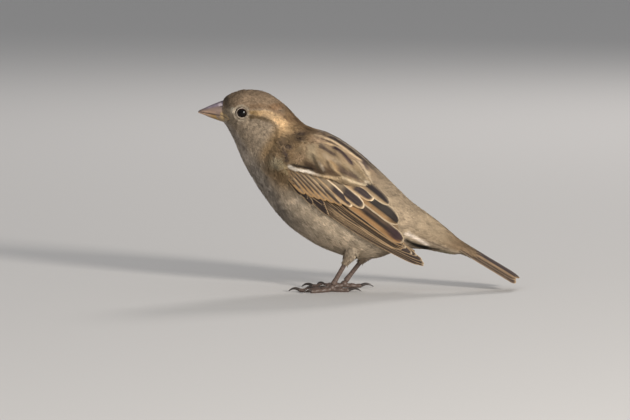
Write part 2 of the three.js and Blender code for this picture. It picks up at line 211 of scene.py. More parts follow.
def body_side(x, z, right):
    """Station and angle of the body's surface at a place in the side view."""
    x, z = np.asarray(x, float), np.asarray(z, float)
    flat_x, flat_z = x.ravel(), z.ravel()
    back_x, back_z, breast_x, breast_z, _ = BODY_ROWS.T
    cross = (flat_x[:, None] - breast_x) * (back_z - breast_z)
    cross = cross - (flat_z[:, None] - breast_z) * (back_x - breast_x)
    crossing = (cross[:, :-1] > 0) & (cross[:, 1:] <= 0)
    hit = crossing.argmax(1)
    k = np.arange(len(hit))
    c0, c1 = cross[k, hit], cross[k, hit + 1]
    s = BODY_S[hit] + (BODY_S[1] - BODY_S[0]) * np.where(crossing.any(1), c0 / (c0 - c1 + 1e-9), 0)
    row = spline(STATIONS, s)
    mx, mz = (row[:, 0] + row[:, 2]) / 2, (row[:, 1] + row[:, 3]) / 2
    ux, uz = row[:, 0] - row[:, 2], row[:, 1] - row[:, 3]
    length = np.hypot(ux, uz)
    climb = ((flat_x - mx) * ux + (flat_z - mz) * uz) / length
    lean = roll(s)
    wide, tall = row[:, 4] * np.sin(lean), length / 2 * np.cos(lean)
    swing = np.arccos(np.clip(climb / np.hypot(wide, tall), -1, 1))
    a = np.arctan2(wide, tall) + (swing if right else -swing)
    return s.reshape(x.shape), a.reshape(x.shape)


def body_reach(x, z, right):
    """How far the body stands from the median plane at a place in the side view."""
    s, a = body_side(x, z, right)
    return body(s, a)[..., 1] * (1 if right else -1)


# ---- wing form

WING_LENGTH = 72.5
WING_BEND = (-32.9, 52.9)
WING_DROOP = {"left": 34.9, "right": 29.0}
WING_LOWER = [(-2, 1.5), (4, -2.8), (14, -5.4), (28, -6.3), (48, -4.4), (64, -1.6), (72.5, 0)]
WING_UPPER = [(-2, 1.9), (3.5, 9.6), (14.8, 15.3), (28, 17.3), (38, 16.2), (49, 12),
              (59.6, 4.0), (67.7, 3.2), (72.5, 0.5)]
WING_CREST, WRAP_ABOVE, WRAP_BELOW = 2.5, 0.033, 0.021
WING_SIDE = [(-2, 15.6), (15, 20.4), (30, 21.2), (45, 18.9), (60, 14.2), (72.5, 11.0)]


class Wing:
    """One folded wing's chart."""

    def __init__(self, name):
        self.right = name == "right"
        self.sign = 1.0 if self.right else -1.0
        droop = math.radians(WING_DROOP[name])
        self.c, self.s = math.cos(droop), math.sin(droop)

    def side_view(self, p, q):
        """x and z of a place on the wing; chart is the other way about."""
        x = WING_BEND[0] + p * self.c + q * self.s
        z = WING_BEND[1] - p * self.s + q * self.c
        return x, z

    def chart(self, x, z):
        dx, dz = x - WING_BEND[0], z - WING_BEND[1]
        return dx * self.c - dz * self.s, dx * self.s + dz * self.c

    def face(self, p, q):
        """The outer face's distance from the median plane, wrapping inwards off its crest."""
        wrap = np.where(q > WING_CREST, WRAP_ABOVE, WRAP_BELOW)
        wrap = wrap * (1 - 0.7 * smooth(40, WING_LENGTH, p))
        return profile(WING_SIDE, p) - wrap * (q - WING_CREST) ** 2

    def point(self, p, q, height=0.0):
        """A point some height over the wing's outer face."""
        x, z = self.side_view(p, q)
        plain = self.face(p, q)
        upper = smooth(9.0, 18.0, q) * (1 - smooth(40, 50, p))
        near = body_reach(x, z, self.right) + 2.2 * (1 - smooth(12.5, 17.5, q))
        out = plain + (np.minimum(near, plain + 0.5) - plain) * upper
        return np.stack([x, self.sign * (out + height), z], -1)


WINGS = {name: Wing(name) for name in ("left", "right")}


# ---- meshes


def make_mesh(name, points, faces, colour=None, uv=None, extra=None):
    """A mesh object from arrays, in millimetres."""
    points = np.asarray(points, float).reshape(-1, 3)
    faces = np.asarray(faces, np.int32)
    size = faces.shape[1]
    mesh = bpy.data.meshes.new(name)
    mesh.vertices.add(len(points))
    mesh.vertices.foreach_set("co", (points * MM).ravel())
    mesh.loops.add(faces.size)
    mesh.loops.foreach_set("vertex_index", faces.ravel())
    mesh.polygons.add(len(faces))
    mesh.polygons.foreach_set("loop_start", np.arange(0, faces.size, size, dtype=np.int32))
    mesh.polygons.foreach_set("use_smooth", np.ones(len(faces), bool))
    mesh.update(calc_edges=True)
    if colour is not None:
        made = mesh.color_attributes.new("tint", "FLOAT_COLOR", "POINT")
        rgba = np.ones((len(points), 4))
        rgba[:, :3] = np.clip(np.asarray(colour).reshape(-1, 3), 0.0, 1.0)
        made.data.foreach_set("color", rgba.ravel())
    for key, values in (extra or {}).items():
        made = mesh.attributes.new(key, "FLOAT", "POINT")
        made.data.foreach_set("value", np.asarray(values, float).ravel())
    if uv is not None:
        layer = mesh.uv_layers.new(name="OFBake")
        layer.data.foreach_set("uv", np.asarray(uv).reshape(-1, 2)[faces.ravel()].ravel())
    piece = bpy.data.objects.new(name, mesh)
    bpy.context.scene.collection.objects.link(piece)
    return piece


def sheet_faces(count, rows, cols):
    """Quads of many grids of rows by cols points, one after another."""
    r, c = np.meshgrid(np.arange(rows - 1), np.arange(cols - 1), indexing="ij")
    first = (r * cols + c).ravel()
    quad = np.stack([first, first + 1, first + cols + 1, first + cols], -1)
    start = np.arange(count)[:, None, None] * rows * cols
    return (quad[None] + start).reshape(-1, 4)


def ring_faces(rows, around, inward=False):
    """Quads of a grid whose rows each close on themselves."""
    r, c = np.meshgrid(np.arange(rows - 1), np.arange(around), indexing="ij")
    first, beside = r * around + c, r * around + (c + 1) % around
    quads = np.stack([first, beside, beside + around, first + around], -1).reshape(-1, 4)
    return quads[:, [0, 3, 2, 1]] if inward else quads


def dress(piece, material, nodes=()):
    piece.data.materials.append(material)
    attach(piece, "root")
    if nodes:
        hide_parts(*nodes)
    return piece


# ---- materials


def feed(made, node, inputs):
    """Gives sockets their values, or links them to other nodes' outputs."""
    for key, value in inputs.items():
        if isinstance(value, bpy.types.NodeSocket):
            made.node_tree.links.new(value, node.inputs[key])
        else:
            node.inputs[key].default_value = value
    return node


def add_node(made, kind, inputs, operation=None):
    node = made.node_tree.nodes.new(kind)
    if operation:
        node.operation = operation
    return feed(made, node, inputs)


def attribute(made, name):
    node = made.node_tree.nodes.new("ShaderNodeAttribute")
    node.attribute_name = name
    return node.outputs


def maths(made, operation, *inputs):
    return add_node(made, "ShaderNodeMath", dict(enumerate(inputs)), operation).outputs[0]


def bump(made, shader, strength, depth, height):
    """Small relief, its depth in metres."""
    sockets = {"Strength": strength, "Distance": depth, "Height": height}
    relief = add_node(made, "ShaderNodeBump", sockets)
    feed(made, shader, {"Normal": relief.outputs["Normal"]})


def material(name, roughness, inputs):
    made = bpy.data.materials.new(name)
    made.use_nodes = True
    shader = made.node_tree.nodes["Principled BSDF"]
    return made, feed(made, shader, {"Roughness": roughness, **inputs})


def tinted(name, roughness, grain, strength, relief, gloss=0.5):
    """A material coloured by its mesh's tint, with fine variation and relief of one grain."""
    made, shader = material(name, roughness, {"Specular IOR Level": gloss})
    place = made.node_tree.nodes.new("ShaderNodeTexCoord")
    noise = add_node(made, "ShaderNodeTexNoise", {
        "Scale": grain, "Detail": 3.0, "Vector": place.outputs["Object"],
    }).outputs["Fac"]
    shade = add_node(made, "ShaderNodeMapRange", {
        "From Min": 0.3, "From Max": 0.7, "To Min": 1.0 - strength, "To Max": 1.0 + strength,
        "Value": noise,
    })
    product = add_node(made, "ShaderNodeVectorMath", {
        0: attribute(made, "tint")["Color"], "Scale": shade.outputs["Result"],
    }, "SCALE")
    feed(made, shader, {"Base Color": product.outputs["Vector"]})
    if relief:
        bump(made, shader, relief, 0.0002, noise)
    return made, shader


PLUME = tinted("plumage", 0.8, 1800.0, 0.12, 0.2, 0.12)[0]
SKIN = tinted("underplumage", 0.95, 900.0, 0.15, 0.2, 0.05)[0]


def vane_material():
    """Feather vanes: fine barbs that slant away from the shaft."""
    made, shader = tinted("vane", 0.7, 1500.0, 0.08, 0.0, 0.10)
    across, along = attribute(made, "across")["Fac"], attribute(made, "along")["Fac"]
    slant = maths(made, "MULTIPLY_ADD", maths(made, "ABSOLUTE", across), -1.3, along)
    wave = maths(made, "SINE", maths(made, "MULTIPLY", slant, 13.0))
    bump(made, shader, 0.2, 0.00008, wave)
    return made


VANE = vane_material()
HORN = tinted("horn", 0.38, 700.0, 0.1, 0.08)[0]
SCALE = tinted("leg_scale", 0.5, 1500.0, 0.15, 0.3)[0]
CLAW = tinted("claw_horn", 0.3, 1200.0, 0.15, 0.1)[0]


# ---- markings

CROWN = (0.27, 0.192, 0.125)
NAPE = (0.135, 0.083, 0.046)
BROW = (0.56, 0.375, 0.20)
BROW_FRONT = (0.195, 0.125, 0.055)
STRIPE = (0.095, 0.062, 0.032)
CHEEK = (0.285, 0.222, 0.157)
NECK = (0.275, 0.185, 0.10)
NECK_BUFF = (0.41, 0.265, 0.135)
BREAST = (0.205, 0.176, 0.147)
BELLY = (0.54, 0.435, 0.315)
# a pale patch on the flank below the wing: painted light
FLANK_LIGHT = (0.70, 0.575, 0.43)
THROAT = (0.54, 0.455, 0.375)
RUMP = (0.34, 0.262, 0.178)
RUMP_PALE = (0.285, 0.215, 0.135)
TAIL_COVERT = (0.205, 0.142, 0.086)
VENT = (0.30, 0.235, 0.165)
VENT_WHITE = (0.66, 0.57, 0.48)
MANTLE = (0.34, 0.24, 0.155)
MANTLE_DARK = (0.032, 0.024, 0.026)
RUSTY = (0.24, 0.14, 0.075)
LORES = (0.30, 0.235, 0.165)
FRONT_DARK = (0.045, 0.038, 0.034)
LORES_PALE = (0.54, 0.455, 0.345)
MALAR = (0.115, 0.09, 0.075)
ABOVE = (0.185, 0.115, 0.065)
BEND = (-33.0, 51.8)
BEND_BUFF = (0.46, 0.375, 0.245)
# dark mottles along the border of neck and shoulder: partly the plumage's mottling, partly painted
# shade where the body's feathers meet the wing
BEND_SHADE_LINE = [(-36.5, 55.0), (-33.0, 58.0), (-28.5, 61.0), (-24.0, 62.8)]
BEND_MOTTLE_AND_SHADE = (0.085, 0.06, 0.042)
# side view line, half width in mm, colour, strength
NECK_LINES = [
    ([(-31.4, 58.0), (-30.4, 55.5), (-30.0, 53.0)], 0.85, (0.075, 0.053, 0.043), 0.92),
    ([(-29.8, 58.6), (-28.2, 58.3)], 0.75, (0.07, 0.049, 0.04), 0.92),
    ([(-25.8, 61.6), (-23.8, 61.2)], 0.75, (0.07, 0.049, 0.04), 0.92),
    ([(-25.3, 63.5), (-20.6, 64.0)], 0.5, (0.08, 0.056, 0.042), 0.92),
]
# the vent's marks: the near-black lines below the white patch are a painted shadow in the gap between
# the flank's feathers and the under tail coverts
VENT_MARKS_AND_SHADOW = [
    ([(24.5, 22.2), (28.2, 20.0), (33.1, 18.0), (36.5, 16.8)], 0.35, (0.14, 0.10, 0.07), 0.6),
    ([(19.0, 20.5), (21.8, 18.9), (25.0, 17.9), (28.2, 17.2)], 0.72, (0.012, 0.010, 0.008), 1.0),
    ([(28.2, 17.2), (33.0, 16.6)], 0.3, (0.05, 0.038, 0.028), 0.9),
    ([(33.0, 16.0), (38.0, 14.9)], 0.5, (0.26, 0.23, 0.15), 0.7),
    ([(19.2, 23.2), (22.0, 21.8), (24.6, 20.4), (27.4, 18.8)], 0.62, VENT_WHITE, 1.0),
]

BROW_LINE = [(-45.1, 72.6), (-42.7, 72.3), (-39.5, 72.2), (-36.3, 71.6), (-33.7, 70.2),
             (-31.2, 68.0), (-29.4, 66.0)]
STRIPE_LINE = [(-44.2, 70.6), (-42.0, 70.7), (-39.5, 70.1), (-36.6, 69.3), (-35.0, 67.9),
               (-33.9, 65.8), (-33.6, 62.4), (-34.6, 59.8)]
ABOVE_LINE = [(-44.0, 74.6), (-40.0, 75.0), (-36.0, 74.3), (-33.0, 72.6), (-30.6, 70.2),
              (-28.6, 68.0)]
BILL_BASE = [(-54.6, 78.2), (-54.0, 75.4), (-53.8, 72.0), (-53.6, 69.4)]
MALAR_LINE = [(-53.6, 68.0), (-51.6, 63.9), (-49.3, 60.5), (-46.6, 56.4)]
EYE_PLACE = (-47.9, 73.3)
EYE_VIEW = (-47.7, 72.45)


def body_colour(x, y, z, s, a, seed):
    """The plumage's colour on the body, the same on both sides."""
    v = seen_height(y, z)
    top = np.cos(a)
    mottle = wave_noise(x, y, z, 0.9, seed)
    broad = wave_noise(x, y, z, 3.2, seed + 1)
    strands = wave_noise(s * 0.7, 14 * np.sin(a), 14 * np.cos(a), 1.0, seed + 2)
    # breast, flank and throat, then the neck behind the cheeks
    neck = smooth(6.2, 7.6, s) * smooth(12.2, 9.8, s) * smooth(-0.75, -0.2, top)
    colour = paint(
        BELLY,
        (BREAST, smooth(15.0, 10.5, s) * smooth(-0.5, -0.88, top) * 0.85),
        (BREAST, smooth(11.6, 9.4, s) * smooth(0.35, 0.0, top) * 0.7),
        # a pale patch on the flank: painted light below the wing
        (FLANK_LIGHT, spot(x, v, (-26.5, 37.5), (6.0, 5.0), 1.2, 0.3)),
        (THROAT, smooth(-0.55, -0.93, top) * smooth(16, 5, s) * 0.34),
        (NECK, neck),
        (NECK_BUFF, neck * np.clip(0.35 + 0.5 * broad, 0, 1) * 0.6),
        (BEND_BUFF, spot(x, v, BEND, (4.0, 3.0), 1.2, 0.5)),
        # dark mottles at the wing's bend, partly painted shade where the body's feathers meet the wing
        (BEND_MOTTLE_AND_SHADE, stroke(x, v, BEND_SHADE_LINE, 2.6, 0.8) * np.clip(0.55 + 0.9 * mottle, 0, 1)),
    )
    colour = draw(colour, x, v, NECK_LINES, 1.7, 0.6)
    # mantle and rump, then the vent and under tail coverts, with a painted shadow line under the vent's
    # white patch
    rump = smooth(13.8, 14.8, s) * smooth(-0.35, 0.1, top)
    colour = paint(
        colour,
        (MANTLE, smooth(9.3, 10.6, s) * smooth(-0.05, 0.25, top)),
        (RUMP, rump),
        (RUMP_PALE, rump * smooth(17.0, 19.0, s) * 0.45),
        (TAIL_COVERT, smooth(19, 21, s) * smooth(-0.2, 0.2, top)),
        (VENT, smooth(16.3, 17.6, s) * smooth(0.1, -0.4, top)),
    )
    colour = draw(colour, x, v, VENT_MARKS_AND_SHADOW, 1.5, 0.5, smooth(0.5, 0.2, top))
    # the head
    head = smooth(7.6, 6.4, s)
    cap = smooth(-0.7, 0.7, v - (74.6 + 0.06 * (x + 45) + 0.3 * mottle)) * smooth(8.6, 7.4, s)
    nape = smooth(5.6, 7.2, s) * smooth(0.72, 0.92, top) * smooth(10.6, 9.2, s)
    from_stripe, down = to_line(x, v, STRIPE_LINE)
    from_brow, along = to_line(x, v, BROW_LINE)
    wide = 0.7 + 1.35 * smooth(0.0, 0.75, along)
    brow = smooth(wide + 0.35, wide * 0.55, from_brow) * smooth(-0.1, 0.1, along)
    brow = brow * (1 - 0.45 * smooth(0.75, 1, along))
    front = stroke(x, v, BILL_BASE, 1.8, 0.6) * smooth(73.6, 75.4, v)
    face = paint(
        colour,
        (CHEEK, head),
        (THROAT, smooth(-0.5, -0.85, top) * head * 0.8),
        (CROWN, cap),
        (NAPE, nape * 0.85),
        (STRIPE, smooth(1.3, 0.35, from_stripe) * (1 - 0.45 * down)),
        (MALAR, stroke(x, v, MALAR_LINE, 1.6, 0.4) * 0.42),
        (ABOVE, stroke(x, v, ABOVE_LINE, 1.5, 0.5) * 0.75),
        (BROW, brow * np.clip(0.88 + 0.25 * mottle, 0, 1)),
        (BROW_FRONT, brow * smooth(0.42, 0.1, along) * 0.9),
        # lores, and the dark feathers at the bill's base
        (LORES, spot(x, v, (-52.6, 71.6), (2.3, 3.6), 1.2, 0.6) * 0.9),
        (LORES_PALE, spot(x, v, (-51.6, 73.3), (1.2, 1.5), 1.2, 0.5)),
        (RUSTY, spot(x, v, (-34.0, 75.0), (3.4, 1.5), 1.2, 0.5) * 0.75),
        (FRONT_DARK, front * np.clip(0.65 + 0.5 * mottle, 0, 0.95)),
        (STRIPE, stroke(x, v, BILL_BASE, 0.8, 0.2) * smooth(71.0, 69.0, v) * 0.6),
        # a pale ring round the eye, broken by the mottling
        (LORES_PALE, spot(x, v, EYE_VIEW, (1, 1), 3.1, 2.6) * np.clip(0.3 + 0.4 * mottle, 0, 1)),
    )
    fore = smooth(4.5, 8.0, s) * smooth(13.5, 11.0, s)
    shade = 1 + (0.11 + 0.09 * fore) * mottle + 0.07 * broad
    shade = shade + (0.2 + 0.14 * fore) * strands * smooth(5, 9, s)
    return face * shade[..., None]


# ---- skin

EYE_SIDE, EYE_RADIUS = 6.85, 3.2
MAP_STATIONS, MAP_TURN = 25, 6.4  # stations and radians across the whole map


def coat_depth(s):
    """How deep the skin lies under the feather tips."""
    return 0.55 + 1.9 * smooth(3.0, 12.0, s) - 1.2 * smooth(17, 22, s)


def body_skin():
    """The body's skin, sunk at the eye sockets and closed at both ends."""
    rows, cols = 150, 112
    s = np.concatenate([np.linspace(0, 8, 70, endpoint=False), np.linspace(8, 22, rows - 70)])
    a = np.linspace(-math.pi, math.pi, cols, endpoint=False)
    s, a = np.meshgrid(s, a, indexing="ij")
    points = body(s, a, coat_depth(s))
    hollow = np.hypot(points[..., 0] - EYE_PLACE[0], points[..., 2] - EYE_PLACE[1])
    sink = 3.2 * smooth(2.35, 1.8, hollow) - 0.35 * bell(hollow, 2.6, 0.5)
    points[..., 1] -= np.sign(points[..., 1]) * sink
    tint = body_colour(*np.moveaxis(body(s, a), -1, 0), s, a, 5) * 0.75
    points, tint = points.reshape(-1, 3), tint.reshape(-1, 3)
    faces = [ring_faces(rows, cols)]
    for start in (0, (rows - 1) * cols):
        hub = len(points)
        ring = np.arange(start, start + cols)
        points = np.vstack([points, points[ring].mean(0)])
        tint = np.vstack([tint, tint[ring].mean(0)])
        even, odd = ring[::2], ring[1::2]
        after = np.roll(even, -1)
        order = (even, odd, after) if start else (after, odd, even)
        faces.append(np.stack([*order, np.full(len(even), hub)], -1))
    return points, np.vstack(faces), tint


PINCH = 0.4  # how far a tube's end stands out, as a share of its radius


def tube(path, radius, sides, squash=1.0):
    """A closed tube of quads along points, with pinched ends."""
    radius = np.asarray(radius, float)
    along = np.gradient(path, axis=0)
    along /= np.linalg.norm(along, axis=1)[:, None]
    across = np.cross([0.0, 0.0, 1.0], along)
    across /= np.maximum(np.linalg.norm(across, axis=1), 1e-6)[:, None]
    up = np.cross(along, across)
    angle = np.arange(sides) / sides * 2 * math.pi
    ring = (
        across[:, None] * (np.cos(angle) * squash)[None, :, None]
        + up[:, None] * np.sin(angle)[None, :, None]
    )
    points = path[:, None] + ring * radius[:, None, None]
    rows = len(path)
    hubs = [path[0] - along[0] * radius[0] * PINCH, path[-1] + along[-1] * radius[-1] * PINCH]
    faces = [ring_faces(rows, sides, inward=True)]
    for row in (0, rows - 1):
        corners = [row * sides + (np.arange(0, sides, 2) + k) % sides for k in (0, 1, 2)]
        hub = np.full(sides // 2, rows * sides + (row > 0))
        faces.append(np.stack([*(corners[::-1] if row else corners), hub], -1))
    return np.vstack([points.reshape(-1, 3), hubs]), np.vstack(faces)


# x, y and lean in degrees
LEGS = {"left": (-11.4, -8.0, 30.0), "right": (-6.2, 8.0, 38.0)}
TARSUS_LENGTH, ANKLE, JOINT_HEIGHT = 19.0, 0.62, 2.0
THIGH_LENGTH, THIGH_TOP, THIGH_BOTTOM = 9.0, 4.6, 1.9


def leg_frame(name):
    """A leg's foot joint, the way up its axis, and the side it stands on."""
    x, y, lean = LEGS[name]
    joint = np.array([x, y, JOINT_HEIGHT])
    axis = np.array([math.sin(math.radians(lean)), 0.0, math.cos(math.radians(lean))])
    return joint, axis, math.copysign(1.0, y)


def join(parts):
    """Several (points, faces, tint) groups as one."""
    offset, points, faces, tints = 0, [], [], []
    for group_points, group_faces, group_tint in parts:
        points.append(group_points)
        faces.append(group_faces + offset)
        tints.append(np.broadcast_to(group_tint, group_points.shape))
        offset += len(group_points)
    return np.vstack(points), np.vstack(faces), np.vstack(tints)


def thigh_skin(name):
    joint, axis, _ = leg_frame(name)
    share = np.linspace(0, 1, 12)
    path = joint + axis * TARSUS_LENGTH * ANKLE + axis * THIGH_LENGTH * share[:, None]
    low, high = THIGH_BOTTOM - 0.8, THIGH_TOP - 1.4
    radius = low + (high - low) * share**0.7
    return *tube(path, radius, 24), np.array(BELLY) * 0.5


skin = make_mesh("skin", *join([body_skin(), *(thigh_skin(name) for name in LEGS)]))
dress(skin, SKIN, ("head", "neck", "trunk", "thigh_left", "thigh_right"))


# ---- contour feathers


class BodyCoat:
    """Feather places on the body: station along it and angle round it."""

    def point(self, s, a, depth):
        return body(s, a, depth)

    def scale(self, s, a):
        """Station and angle for each millimetre."""
        here = body(s, a)
        per_s = 0.05 / np.maximum(np.linalg.norm(body(s + 0.05, a) - here, axis=1), 1e-3)
        per_a = 0.02 / np.maximum(np.linalg.norm(body(s, a + 0.02) - here, axis=1), 1e-3)
        return per_s, per_a

    def patch(self, s, a):
        return s / MAP_STATIONS, (a + math.pi) / MAP_TURN

    def colour(self, points, s, a, seed):
        return body_colour(*np.moveaxis(points, -1, 0), s, a, seed)


BODY_COAT = BodyCoat()
HEAD_END, TAIL_START, TAIL_COVERED = 9, 18, 23.2  # stations
UNDER_WING = 4.0  # mm under a wing's edge where the body's feathers end


def spread(spacing, low, high, seed):
    """Feather roots over the body between two stations, in staggered rings."""
    made = np.random.default_rng(seed)
    roots = []
    s = low
    row = 0
    while s < high:
        here = body(np.array([s, s + 0.01]), np.array([0.0, 0.0]))
        under = body(np.array([s, s + 0.01]), np.array([math.pi, math.pi]))
        # millimetres for each station, the mean of back and breast
        pace = (np.linalg.norm(here[1] - here[0]) + np.linalg.norm(under[1] - under[0])) * 50
        ring = body(np.full(73, s), np.linspace(-math.pi, math.pi, 73))
        around = np.linalg.norm(np.diff(ring, axis=0), axis=1).sum()
        count = max(6, int(around / spacing))
        a = (np.arange(count) + 0.5 * (row % 2)) / count * 2 * math.pi - math.pi
        a = a + made.normal(0, 0.22, count) * 2 * math.pi / count
        at = np.full(count, s) + made.normal(0, 0.25, count) * spacing / pace
        roots.append(np.stack([at, a], -1))
        s += spacing / pace * 0.9
        row += 1
    roots = np.vstack(roots)
    return np.clip(roots[:, 0], 0, BODY_END), roots[:, 1]


def on_wing(points, margin):
    """Whether points in the side view lie under a folded wing."""
    under = np.zeros(len(points), bool)
    for wing in WINGS.values():
        p, q = wing.chart(points[:, 0], points[:, 2])
        inside = (
            (p > 1.5 + margin) & (p < 43) & (q > profile(WING_LOWER, p) + margin)
            & (q < np.minimum(profile(WING_UPPER, p), 12.0) - margin * 0.4)
        )
        under |= inside & (points[:, 1] * wing.sign > 0)
    return under


FAN_ROWS = np.array([0.0, 0.4, 0.75, 1.0])
FAN_WIDTHS = [1.1, 1.3, 1.05, 0.22]
FAN_SHADES = [0.8, 0.94, 1.0, 1.05]
MAP_PATCH = 0.0015  # half a feather's size on the map


def deep(values):
    """One value for each feather, shaped to spread over its barbs, rows and edges."""
    return values[:, None, None, None]


def fans(name, chart, s, a, length, width, sink, strands, seed, turn=0.0, frill=1.0, tone=0.10,
         slot="plumage", lift=0.0, streak=0.0, stray=0.09, own_share=0.5):
    """Contour feathers, each a fan of thin overlapping barbs, laid along a chart."""
    made = np.random.default_rng(seed)
    count = len(s)

    def chance(amount, barbs=1):
        """A random share for each feather, or for each of its barbs."""
        return made.normal(0, amount, (count, barbs, 1, 1))

    length, width, sink, lift = (deep(np.broadcast_to(v, count)) for v in (length, width, sink, lift))
    length = length * (1 + chance(0.07))
    k = np.linspace(-1, 1, strands)[None, :, None, None]
    v = FAN_ROWS[None, None, :, None]
    edge = np.array([-1.0, 1.0])
    along = length * v * (1 - 0.30 * k**2 + chance(0.05 * frill, strands))
    half = np.interp(v, FAN_ROWS, FAN_WIDTHS) * 1.5 / strands
    sway = chance(0.06 * frill, strands) * v**2
    across = width * ((0.35 + 0.65 * smooth(0.0, 0.75, v)) * k + half * edge + sway)
    heading = made.normal(0, stray, count) + turn
    cos, sin = deep(np.cos(heading)), deep(np.sin(heading))
    per_s, per_a = chart.scale(s, a)
    full_s = deep(s) + (along * cos - across * sin) * deep(per_s)
    full_a = deep(a) + (along * sin + across * cos) * deep(per_a)
    twist = chance(0.015 * frill, strands) * edge
    stand = chance(0.02 * frill, strands) * v**2
    whole = chance(0.07) * v
    depth = sink * (1 - v) ** 1.2 + 0.11 * k**2 + twist + stand + whole - lift * v
    points = chart.point(full_s, full_a, depth)
    tip_s = s + 0.75 * length[:, 0, 0, 0] * per_s * np.cos(heading)
    tip_a = a + 0.75 * length[:, 0, 0, 0] * per_a * np.sin(heading)
    tip = chart.point(tip_s, tip_a, np.zeros(count))
    base = deep(chart.colour(tip, tip_s, tip_a, seed))
    own = chart.colour(points, full_s, full_a, seed)
    shade = 1 + chance(tone) + chance(0.035, strands)
    shade = shade * np.interp(v, FAN_ROWS, FAN_SHADES)
    shade = shade * (1 - streak * np.exp(-((k / 0.35) ** 2)) + 0.5 * streak * k**2)
    tint = ((1 - own_share) * base + own_share * own) * shade[..., None]
    u0, v0 = (deep(share) for share in chart.patch(s, a))
    uv = np.stack([
        u0 + MAP_PATCH * (v * 2 - 1) + 0 * across,
        v0 + MAP_PATCH * (k * 0.8 + 0.2 * edge) + 0 * across,
    ], -1)
    faces = sheet_faces(count * strands, len(FAN_ROWS), 2)
    return dress(make_mesh(name, points, faces, tint, np.clip(uv, 0, 1)), PLUME)


# share of a feather's length, and how far in mm that stays from the eye's middle
EYE_BARE = [(0.0, 2.15), (0.5, 2.3), (0.95, 2.3)]


def clear_of_eye(s, a, length):
    """Roots from which a feather of this length leaves the eye bare."""
    clear = np.ones(len(s), bool)
    per_s, _ = BODY_COAT.scale(s, a)
    for share, reach in EYE_BARE:
        at = body(s + share * length * per_s, a)
        clear &= np.hypot(at[:, 0] - EYE_PLACE[0], at[:, 2] - EYE_PLACE[1]) > reach
    return clear


def over_wing(s, a, length):
    """How far feathers rise in mm to lie over the front edge of a folded wing."""
    per_s, _ = BODY_COAT.scale(s, a)
    tip = body(s + 0.9 * length * per_s, a)
    rise = np.zeros(len(s))
    for wing in WINGS.values():
        p, q = wing.chart(tip[:, 0], tip[:, 2])
        near = smooth(-5.0, -1.0, p) * smooth(11.0, 6.0, p)
        near = near * smooth(-6.5, -4.0, q) * smooth(17.5, 14.0, q)
        near = near * (1 - 0.8 * smooth(2.4, 3.6, p) * bell(q, 2.0, 2.0))
        gap = wing.face(p, q) + 0.75 - np.abs(tip[:, 1])
        on_side = tip[:, 1] * wing.sign > 0
        rise = np.where(on_side, np.maximum(rise, near * np.clip(gap, 0, 3.5)), rise)
    return rise


def coat(name, low, high, gap, length, width, sink, strands, seed, limit=None, **more):
    """Feathers over the body between two stations, off the wings, the eyes and the tail."""
    s, a = spread(gap, low, high, seed)
    kept = ~on_wing(body(s, a), UNDER_WING)
    if high < HEAD_END:
        kept &= clear_of_eye(s, a, length)
    if limit is not None:
        kept &= limit(s, a)
    s, a = s[kept], a[kept]
    cut = np.ones(len(s))
    if high > TAIL_START:
        per_s, _ = BODY_COAT.scale(s, a)
        cut = np.clip((TAIL_COVERED - s) / (length * per_s), 0.35, 1.0)
    return fans(name, BODY_COAT, s, a, length * cut, width, sink, strands, seed,
                lift=over_wing(s, a, length), **more)


THIGH_BROWN = (0.22, 0.17, 0.12)
EYE_SHADE = (0.10, 0.075, 0.055)


class LegCoat:
    """Feather places on a thigh: millimetres down it, and angle round it."""

    def __init__(self, name):
        joint, self.axis, _ = leg_frame(name)
        self.top = joint + self.axis * (TARSUS_LENGTH * ANKLE + THIGH_LENGTH)
        self.across = np.array([self.axis[2], 0.0, -self.axis[0]])

    def radius(self, d):
        share = 1 - np.clip(d / THIGH_LENGTH, 0, 1.15)
        plain = THIGH_BOTTOM - 0.3 + (THIGH_TOP - THIGH_BOTTOM) * np.maximum(share, 0) ** 0.7
        return plain - 1.5 * smooth(3.8, 0.0, d)

    def point(self, d, a, depth):
        r = (self.radius(d) - depth)[..., None]
        ring = self.across * np.cos(a)[..., None] + (0.0, 1.0, 0.0) * np.sin(a)[..., None]
        return self.top - self.axis * d[..., None] + ring * r

    def scale(self, d, a):
        return np.ones(len(d)), 1 / self.radius(d)

    def patch(self, d, a):
        return 0.9 + d / 120, (a + math.pi) / MAP_TURN

    def colour(self, points, d, a, seed):
        # the thigh's top takes the belly's colour at about half its brightness: painted shade, to match
        # the belly beside it under the wing
        tone = mix(np.array(BELLY) * 0.52, THIGH_BROWN, smooth(3, 9, d))
        return tone * (1 + 0.1 * wave_noise(*np.moveaxis(points, -1, 0), 0.8, seed))[..., None]


def thigh_places(seed):
    """Roots in rings down a thigh."""
    made = np.random.default_rng(seed)
    d, a = np.meshgrid(np.arange(-2.0, 8.0, 0.9), np.arange(0, 2 * math.pi, 0.36), indexing="ij")
    return d.ravel() + made.normal(0, 0.2, d.size), a.ravel() + made.normal(0, 0.1, d.size)


class EyeCoat:
    """Feather places round an eye: millimetres from its middle, and angle round it."""

    def __init__(self, right):
        self.right = right

    def side_view(self, r, turn):
        return EYE_PLACE[0] + r * np.cos(turn), EYE_PLACE[1] + r * np.sin(turn)

    def point(self, r, turn, depth):
        x, z = self.side_view(r, turn)
        out = body_reach(x, z, self.right) + 0.1 - depth
        return np.stack([x, out * (1 if self.right else -1), z], -1)

    def scale(self, r, turn):
        return np.ones(len(r)), 1 / r

    def patch(self, r, turn):
        return 0.93 + r / 80, 0.05 + turn / 7 + 0.0 * r

    def colour(self, points, r, turn, seed):
        x, z = self.side_view(r, turn)
        tint = body_colour(*np.moveaxis(points, -1, 0), *body_side(x, z, self.right), seed)
        front = smooth(0.75, -0.1, np.cos(turn))
        tint = mix(tint, EYE_SHADE, bell(r, 2.45, 0.22) * 0.75)
        return mix(tint, LORES_PALE, bell(r, 3.15, 0.3) * front * 0.75)


EYE_RINGS, EYE_SPACING, EYE_FLOW = (2.1, 2.35, 2.6, 2.9, 3.2), 0.34, math.radians(-18)


